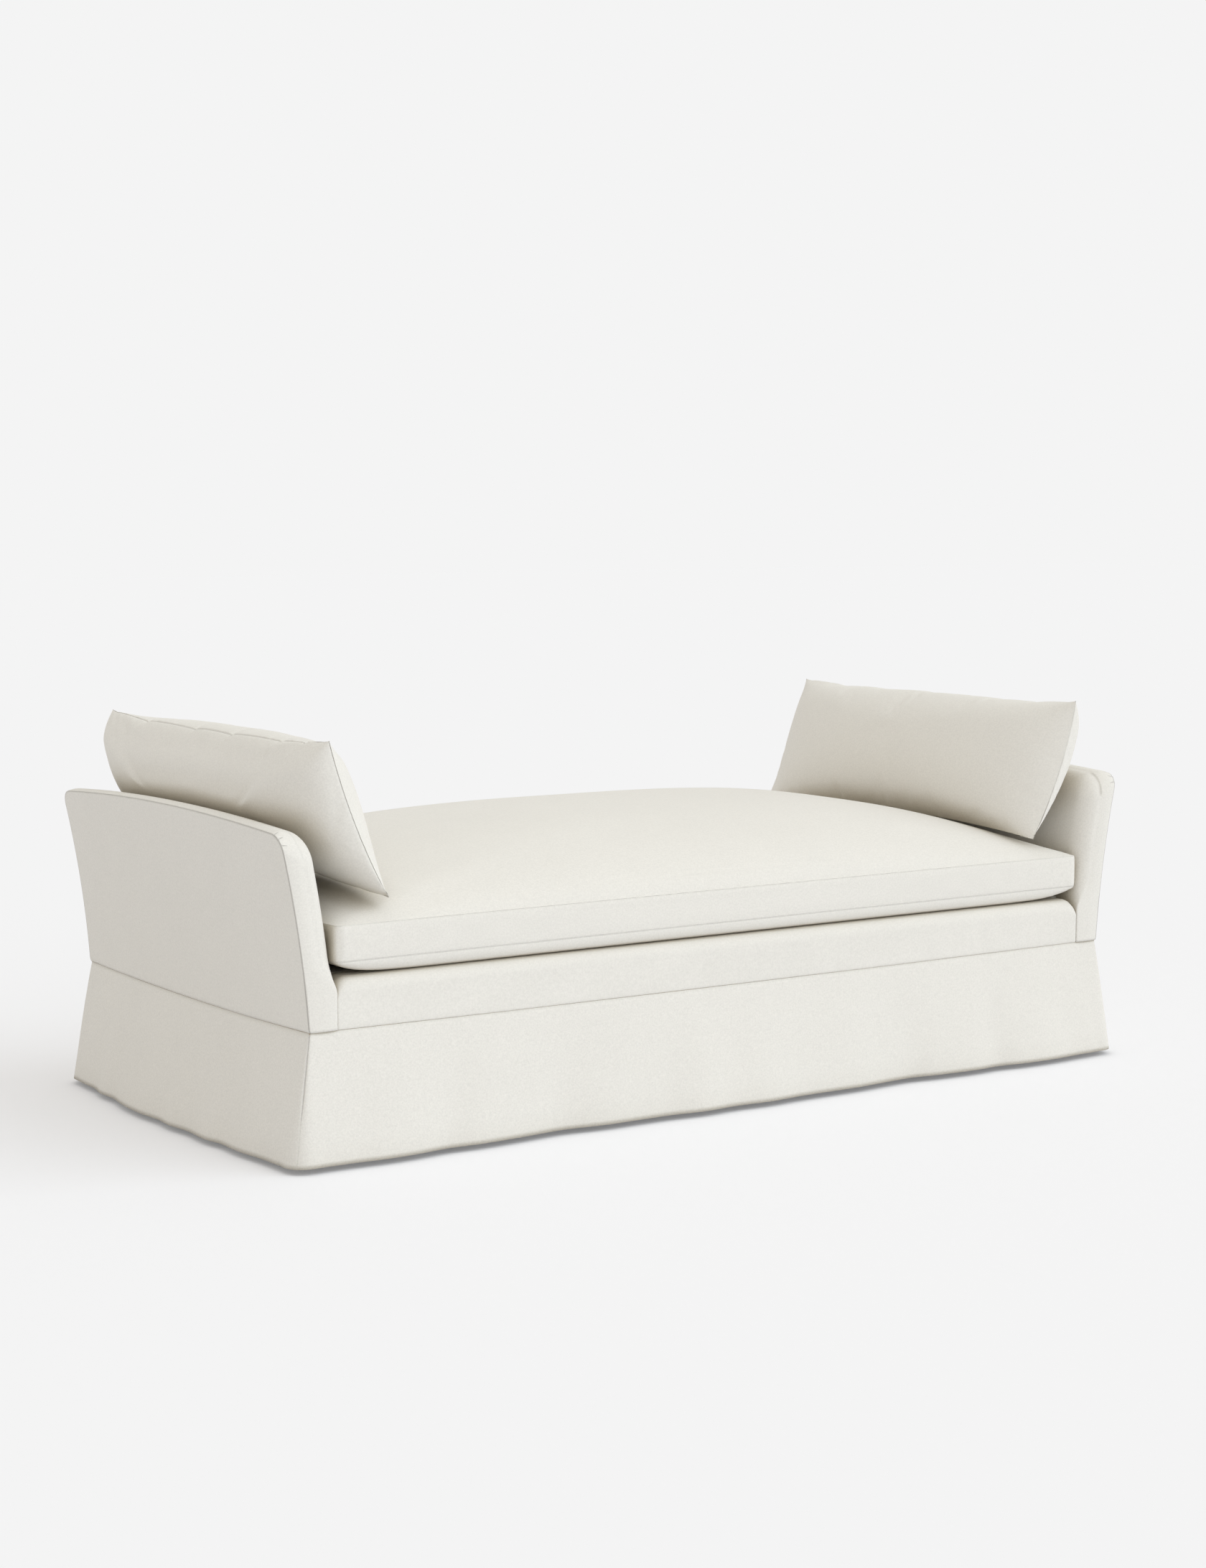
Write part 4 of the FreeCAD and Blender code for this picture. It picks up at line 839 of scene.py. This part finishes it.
def sew_bolster(item, puckers):
    """Scallops and puckers along the top seam, and the groove of the seam all round."""
    mesh = item.data
    gaps = mesh.attributes["seam_gap"].data
    moves = []
    for vertex in mesh.vertices:
        point = vertex.co.copy()
        gap = gaps[vertex.index].value
        side = math.copysign(1, point.x)
        top = smooth_step((point.z - TOP_START) / TOP_RISE)
        lift = ARCH_HEIGHT * seam_arch(point.y, puckers) * bell(gap / ARCH_FADE)
        move = Vector((0.35 * side, 0, 0.93)) * lift * top
        if gap < CREASE_LENGTH and top > 0:
            for pucker in puckers[1:-1]:
                middle = pucker + CREASE_SLANT * gap
                shape = bell((point.y - middle) / (CREASE_WIDTH * (1 + 12 * gap)))
                move -= vertex.normal * CREASE_DEPTH * shape * top * (1 - gap / CREASE_LENGTH)
        move -= vertex.normal * GROOVE_DEPTH * bell(gap / GROOVE_WIDTH)
        moves.append(point + move)
    for vertex, place in zip(mesh.vertices, moves):
        vertex.co = place
    mesh.update()


# Bands of the long rails, and the deck between them

BAND_CORNER = 0.026
BAND_EDGES = (0.9505, 0.9517)
BAND_UNEVEN = 0.0010


def band_profile():
    """Section of the front band in depth and height, from the waist up and back over the deck."""
    face = -HALF_DEPTH
    points = [(face + 0.0030, WAIST - 0.001), (face + 0.0008, WAIST + 0.001), (face, WAIST + 0.005)]
    points += [(face, height) for height in spread(WAIST + 0.015, DECK - BAND_CORNER, 8)]
    for degrees in range(10, 91, 10):
        turn = math.radians(degrees)
        depth = face + BAND_CORNER * (1 - math.cos(turn))
        points.append((depth, DECK - BAND_CORNER * (1 - math.sin(turn))))
    points += [(depth, DECK - 0.0004) for depth in spread(face + 0.034, face + 0.064, 3)]
    points += [(face + 0.064, DECK - 0.010), (face + 0.030, DECK - 0.011)]
    points.append((face + 0.012, DECK - 0.030))
    downward = reversed(spread(WAIST + 0.004, DECK - 0.045, 4))
    return points + [(face + 0.010, height) for height in downward]


def band_cover():
    """The front band, rounded down at both ends where the ends' covers meet it."""
    shell = Shell()
    profile = band_profile()
    lines = []
    inside = spread(-0.947, 0.947, 170, 0.2)
    for along in [-BAND_EDGES[1], -BAND_EDGES[0]] + inside + list(BAND_EDGES):
        reach = max(0.0, (abs(along) - 0.922) / 0.030)
        drop = BAND_CORNER * (1 - math.sqrt(max(0.0, 1 - min(reach, 1.0) ** 2)))
        line = []
        for depth, height in profile:
            lowered = drop * smooth_step((height - 0.300) / (DECK - 0.300))
            move = -BAND_UNEVEN * soft_noise((along, height, 0.7), 0.20, 4)
            if abs(along) > BAND_EDGES[0] + 0.0005:
                move = 0.0012
            above = 1 - smooth_step((height - WAIST) / 0.08)
            sag = FRONT_SAG * (1 - (along / HALF_WAIST) ** 2) * above
            line.append(shell.add((along, depth + move, height - lowered - sag)))
        line.append(line[0])
        lines.append(line)
    shell.grid(lines)
    for line in (lines[0], lines[-1]):
        shell.faces.append(tuple(line[:-1]))
    return shell


# Skirt: four hanging panels that meet in seams at the rounded corners

HEM_LENGTH, HEM_DEPTH, HEM_CORNER = 1.061, 0.529, 0.040
TOP_LENGTH, TOP_DEPTH, TOP_CORNER = 1.0125, 0.5035, 0.003
SKIRT_CLOTH = 0.0025
SKIRT_ROWS = 26
SKIRT_COLUMN = 0.012
SKIRT_EDGES = (0.0, 0.0012, 0.003, 0.006, 0.011)

FRONT_FOLDS = (
    (-1.00, -1), (-0.93, 1), (-0.87, 6), (-0.80, 5), (-0.72, -4), (-0.65, 0), (-0.55, -5),
    (-0.45, -13), (-0.35, -2), (-0.25, -2), (-0.19, -1), (-0.11, 8), (-0.03, 3), (0.06, 8),
    (0.15, 1), (0.30, 0), (0.40, -9), (0.46, -12), (0.53, -2), (0.64, 4), (0.70, 0),
    (0.77, 9), (0.86, 11), (0.93, 5), (1.00, 1),
)
END_FOLDS = (
    (-0.48, 0), (-0.43, 3), (-0.37, 5), (-0.33, 14), (-0.26, 13), (-0.215, 20), (-0.17, 25),
    (-0.10, 27), (-0.06, 24), (-0.02, 21), (0.03, 25), (0.06, 22), (0.11, 17), (0.165, 20),
    (0.20, 19), (0.24, 11), (0.29, 12), (0.33, 11), (0.40, 3), (0.48, -1),
)


def fold_line(knots, place):
    """Millimetres outward at a place, on a smooth line through the knots."""
    if place <= knots[0][0] or place >= knots[-1][0]:
        return 0.0
    index = max(number for number, knot in enumerate(knots) if knot[0] <= place)
    before = knots[max(index - 1, 0)]
    first, second = knots[index], knots[index + 1]
    after = knots[min(index + 2, len(knots) - 1)]
    share = (place - first[0]) / (second[0] - first[0])
    width = second[0] - first[0]
    leave = (second[1] - before[1]) / max(second[0] - before[0], 1e-6) * width
    arrive = (after[1] - first[1]) / max(after[0] - first[0], 1e-6) * width
    square, cube = share ** 2, share ** 3
    value = (2 * cube - 3 * square + 1) * first[1] + (cube - 2 * square + share) * leave
    return value + (-2 * cube + 3 * square) * second[1] + (cube - square) * arrive


def skirt_panel(length, depth, folds, waist_sag):
    """A hanging panel that faces -Y, with its folds, as a closed double cloth."""
    shell = Shell()
    half_hem, half_top, base_hem, base_top = length[1], length[0], depth[1], depth[0]
    columns = int(half_hem * 2 / SKIRT_COLUMN)
    near = [edge - 1 for edge in SKIRT_EDGES[:-1]]
    inside = spread(SKIRT_EDGES[-1] - 1, 1 - SKIRT_EDGES[-1], columns, 0.1)
    shares = near + inside + [-share for share in reversed(near)]
    outside, lining = [], []
    for row in range(SKIRT_ROWS + 1):
        share = row / SKIRT_ROWS
        half = mix(half_top, half_hem, share)
        base = mix(base_top, base_hem, share)
        corner = mix(TOP_CORNER, HEM_CORNER, share ** 1.3)
        straight = half - corner
        reach = straight + corner * math.pi / 4
        height = mix(WAIST - 0.0005, HEM, share)
        outer_line, inner_line = [], []
        for across in shares:
            along = across * reach
            over = max(0.0, abs(along) - straight)
            turn = over / corner
            side = math.copysign(1, along)
            x = side * (straight + corner * math.sin(turn)) if over else along
            y = -(base - corner * (1 - math.cos(turn)))
            out = Vector((side * math.sin(turn), -math.cos(turn), 0))
            window = 1 - smooth_step((abs(across) - 0.93) / 0.07)
            fold = fold_line(folds, along * half_hem / half) / 1000 * window * share ** 1.25
            sag = waist_sag * (1 - (x / half) ** 2) * (1 - share)
            point = Vector((x, y, height - sag)) + out * fold
            fade = 1 - smooth_step((share - 0.45) / 0.3)
            gap = (1 - abs(across)) * reach
            point -= out * 0.0012 * fade * bell(gap / SEAM_GROOVE)
            outer_line.append(shell.add(point, gap + (1 - fade) * SEAM_GROOVE))
            inner_line.append(shell.add(point - out * SKIRT_CLOTH))
        outside.append(outer_line)
        lining.append(inner_line)
    shell.grid(outside)
    shell.grid(lining)
    shell.grid([outside[0], lining[0]])
    shell.grid([outside[-1], lining[-1]])
    shell.grid([[line[0] for line in outside], [line[0] for line in lining]])
    shell.grid([[line[-1] for line in outside], [line[-1] for line in lining]])
    return shell


def turned(shell, quarter_turns):
    """The shell, turned round the upright axis."""
    turn = Matrix.Rotation(quarter_turns * math.pi / 2, 3, "Z")
    shell.points = [tuple(turn @ Vector(point)) for point in shell.points]
    return shell


# Deck, dust cloth and zip

LEG_PLAY = 0.0005
DUST_SAG = 0.006
TOOTH_PITCH = 0.003
TOOTH_HEIGHT = 0.0019
TOOTH_RINGS = ((-0.0006, 1.0), (0.0004, 0.95), (0.0008, 0.6))


def deck_pad():
    """The deck that the cushion lies on: foam and felt under one stretched cloth."""
    shell = Shell()
    reach = band_high.x - 0.0005
    depth = deck_high.y
    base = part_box("spring_felt")[0].z
    columns, rows = spread(-1, 1, 60, 0.5), spread(-1, 1, 34, 0.5)
    top, bottom = [], []
    for up in rows:
        line, under = [], []
        for across in columns:
            x, y = reach * across, depth * up
            edge = max(abs(across), abs(up)) ** 16
            dip = 0.0012 * (1 + soft_noise((x, y, 0), 0.25, 6)) * (1 - edge)
            line.append(shell.add((x, y, DECK - 0.0003 - dip - 0.0008 * edge)))
            under.append(shell.add((x, y, base)))
        top.append(line)
        bottom.append(under)
    shell.grid(top)
    shell.grid(bottom)
    shell.grid([outline_loop(top), outline_loop(bottom)])
    return shell


def dust_sheet():
    """Thin cloth under the frame, open round each leg and a little slack between the rails."""
    shell = Shell()
    low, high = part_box("dust_cover")
    legs = [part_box(name) for name in frame["nodes"] if name.endswith("_leg")]
    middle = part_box("centre_legs")
    half = (legs[0][1].x - legs[0][0].x) / 2 + LEG_PLAY
    leg_xs = (legs[0][1].x + legs[0][0].x) / 2
    leg_y = (legs[0][1].y + legs[0][0].y) / 2
    centres = [side * abs(leg_xs) for side in (-1, 1)] + [(middle[0].x + middle[1].x) / 2]
    xs = sorted(set(spread(low.x, high.x, 56) + [c + half * s for c in centres for s in (-1, 1)]))
    leg_sides = [a * abs(leg_y) + half * s for a in (-1, 1) for s in (-1, 1)]
    ys = sorted(set(spread(low.y, high.y, 28) + leg_sides))
    upper, lower = {}, {}

    def opened(x, y):
        beside = abs(abs(y) - abs(leg_y)) < half
        return beside and any(abs(x - centre) < half for centre in centres)

    def corner(column, row):
        if (column, row) not in upper:
            x, y = xs[column], ys[row]
            slack = (1 - (x / high.x) ** 2) * (1 - (y / high.y) ** 2)
            sag = DUST_SAG * slack * (1 + 0.4 * soft_noise((x, y, 0), 0.3, 8))
            upper[column, row] = shell.add((x, y, high.z - sag))
            lower[column, row] = shell.add((x, y, low.z - sag))
        return upper[column, row], lower[column, row]

    cells = set()
    for column in range(len(xs) - 1):
        for row in range(len(ys) - 1):
            if not opened((xs[column] + xs[column + 1]) / 2, (ys[row] + ys[row + 1]) / 2):
                cells.add((column, row))
    for column, row in cells:
        ring = [corner(column + a, row + b) for a, b in ((0, 0), (1, 0), (1, 1), (0, 1))]
        shell.faces.append(tuple(pair[0] for pair in ring))
        shell.faces.append(tuple(pair[1] for pair in reversed(ring)))
        sides = (((0, -1), 0, 1), ((1, 0), 1, 2), ((0, 1), 2, 3), ((-1, 0), 3, 0))
        for (a, b), first, second in sides:
            if (column + a, row + b) not in cells:
                near, far = ring[first], ring[second]
                shell.faces.append((near[0], near[1], far[1], far[0]))
    return shell


def zip_tape():
    """Woven tape of the zip, a little raised along its edges."""
    shell = Shell()
    low, high = zip_low, zip_high
    centre, half = (low.z + high.z) / 2, (high.z - low.z) / 2
    outer, inner = [], []
    for share in spread(-1, 1, 10, 0.5):
        rise = 0.0004 * share ** 2
        xs = spread(low.x, high.x, 90)
        face = high.y - 0.0005 + rise
        outer.append([shell.add((x, face, centre + half * share)) for x in xs])
        inner.append([shell.add((x, low.y, centre + half * share)) for x in xs])
    shell.grid(outer)
    shell.grid(inner)
    shell.grid([outline_loop(outer), outline_loop(inner)])
    return shell


def zip_teeth():
    """Small rounded teeth from both sides of the tape's middle, in turn."""
    shell = Shell()
    low, high = zip_low, zip_high
    centre = (low.z + high.z) / 2
    count = int((high.x - low.x - 0.02) / TOOTH_PITCH)
    for number in range(count):
        x = low.x + 0.01 + number * TOOTH_PITCH
        z = centre + (0.0007 if number % 2 else -0.0007)
        rings = []
        for height, size in TOOTH_RINGS:
            ring = []
            for step in range(8):
                turn = math.pi / 4 * step
                ring.append(shell.add((
                    x + TOOTH_PITCH * 0.42 * size * math.cos(turn),
                    high.y + height,
                    z + TOOTH_HEIGHT * size * math.sin(turn),
                )))
            rings.append(ring + [ring[0]])
        shell.grid(rings)
        shell.faces.append(tuple(rings[0][:-1]))
        shell.faces.append(tuple(rings[-1][:-1]))
    return shell


# The pieces

right_arm = arm_cover().piece("right_arm_upholstery", "frame", linen, "cover_linen")
left_arm = mirrored_piece(right_arm, "left_arm_upholstery", "frame")
for arm, side in ((right_arm, "right"), (left_arm, "left")):
    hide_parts(f"{side}_arm_cover", f"{side}_arm_padding")

seat_shell, seat_held = seat_cushion()
seat = seat_shell.piece("seat_cushion_upholstery", "seat_cushion", linen, "cover_linen")
inflate(seat, seat_held, SEAT_CAP)
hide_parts("seat_cushion_cover", "seat_cushion_wrap", "seat_cushion_core")

bolster_name = "right_bolster_upholstery"
bolster_shell, bolster_held = bolster_cover()
right_bolster = bolster_shell.piece(bolster_name, "right_bolster", linen, "cover_linen")
inflate(right_bolster, bolster_held, BOLSTER_CAP)
subdivided(right_bolster)
bolster_name = "left_bolster_upholstery"
left_bolster = mirrored_piece(right_bolster, bolster_name, "left_bolster")
sew_bolster(right_bolster, RIGHT_PUCKERS)
sew_bolster(left_bolster, LEFT_PUCKERS)
for bolster, side in ((right_bolster, "right"), (left_bolster, "left")):
    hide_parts(f"{side}_bolster_cover", f"{side}_bolster_fill")

front_band = band_cover()
back_band = band_cover()
back_band.points = [(-x, -y, z) for x, y, z in back_band.points]
front_band = front_band.piece("front_band_upholstery", "frame", linen, "cover_linen")
back_band = back_band.piece("back_band_upholstery", "frame", linen, "cover_linen")
for band, side in ((front_band, "front"), (back_band, "back")):
    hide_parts(f"{side}_band_cover", f"{side}_band_padding", f"{side}_edge_roll")

long_size, end_size = (TOP_LENGTH, HEM_LENGTH), (TOP_DEPTH, HEM_DEPTH)
panels = (
    ("front", long_size, end_size, FRONT_FOLDS, 0),
    ("right", end_size, long_size, END_FOLDS, 1),
    ("back", long_size, end_size, FRONT_FOLDS, 2),
    ("left", end_size, long_size, END_FOLDS, 3),
)
for side, length, depth, folds, quarter in panels:
    waist_sag = FRONT_SAG if side in ("front", "back") else END_SAG
    panel = turned(skirt_panel(length, depth, folds, waist_sag), quarter)
    panel = panel.piece(f"{side}_skirt_panel", "frame", skirt_linen, "skirt_linen")
    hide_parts(f"{side}_skirt")

deck = deck_pad().piece("deck_upholstery", "frame", deck_cloth, "deck_cloth")
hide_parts("deck_cover", "deck_foam", "spring_felt")

dust = dust_sheet().piece("dust_cloth_sheet", "frame", dust_cloth, "dust_cloth")
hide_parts("dust_cover")

tape = zip_tape().piece("zip_tape", "seat_cushion", tape_cloth, "zip_tape")
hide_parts("seat_cushion_zip")
zip_teeth().piece("zip_teeth", "seat_cushion", finishes["zip_metal"], "zip_metal")

slots = {item["node"]: item["material_slot"] for item in frame["record"]["subparts"]}
for name, item in frame["nodes"].items():
    item.data.materials.clear()
    item.data.materials.append(finishes[slots[name]])


# Studio: floor, light and camera

FLOOR_SIZE = 40.0
FLOOR_COLOUR = (0.813, 0.815, 0.845, 1.0)
FLOOR_GLOW = 0.179
BACKDROP = (0.905, 0.905, 0.905, 1.0)
SKY = 0.73
SKY_COLOUR = (1.0, 0.976, 0.918, 1.0)
KEY_ENERGY = 1.21
KEY_COLOUR = (0.86, 0.94, 1.0)
KEY_ANGLE = 70
KEY_FROM = (0.62, -0.75, 0.55)
SENSOR = 36.0
FOCAL_PIXELS = 3853.24
IMAGE_HEIGHT = 2184
CAMERA_PLACE = (-3.4245, -5.0639, 1.2530)
CAMERA_DOWN = 5.737
CAMERA_TURN = -34.024


def studio_floor():
    """A pale floor that keeps the shadow and glows a little to the camera only."""
    mesh = bpy.data.meshes.new("floor")
    corners = ((-1, -1), (1, -1), (1, 1), (-1, 1))
    points = [(x * FLOOR_SIZE, y * FLOOR_SIZE, 0) for x, y in corners]
    mesh.from_pydata(points, [], [(0, 1, 2, 3)])
    linked("floor", mesh)
    material = bpy.data.materials.new("pale_floor")
    nodes = Nodes(material)
    diffuse = nodes.add("ShaderNodeBsdfDiffuse", {"Color": FLOOR_COLOUR})
    strength = nodes.math("MULTIPLY", nodes.seen(), FLOOR_GLOW)
    glow = nodes.add("ShaderNodeEmission", {"Color": (1, 1, 1, 1), "Strength": strength})
    both = {0: diffuse.outputs[0], 1: glow.outputs[0]}
    nodes.finish(nodes.add("ShaderNodeAddShader", both))
    mesh.materials.append(material)


def studio_light():
    """Soft light from all round, a pale backdrop for the camera and one wide key lamp."""
    world = bpy.data.worlds.new("studio")
    bpy.context.scene.world = world
    nodes = Nodes(world)
    light = nodes.add("ShaderNodeBackground", {"Color": SKY_COLOUR, "Strength": SKY})
    backdrop = nodes.add("ShaderNodeBackground", {"Color": BACKDROP})
    choice = {0: nodes.seen(), 1: light.outputs[0], 2: backdrop.outputs[0]}
    nodes.finish(nodes.add("ShaderNodeMixShader", choice), "ShaderNodeOutputWorld")
    lamp = bpy.data.lights.new("key", "SUN")
    lamp.energy = KEY_ENERGY
    lamp.color = KEY_COLOUR
    lamp.angle = math.radians(KEY_ANGLE)
    linked("key", lamp).rotation_euler = Vector(KEY_FROM).to_track_quat("Z", "Y").to_euler()


def studio_camera():
    """The photograph's camera, fitted to the object's seams and corners."""
    camera = bpy.data.cameras.new("camera")
    camera.sensor_fit = "AUTO"
    camera.sensor_width = SENSOR
    camera.lens = SENSOR * FOCAL_PIXELS / IMAGE_HEIGHT
    item = linked("camera", camera)
    item.location = CAMERA_PLACE
    elevation, azimuth = math.radians(CAMERA_DOWN), math.radians(CAMERA_TURN)
    item.rotation_euler = (math.pi / 2 - elevation, 0, azimuth)
    bpy.context.scene.camera = item


studio_floor()
studio_light()
studio_camera()
bpy.context.scene.view_settings.view_transform = "Standard"
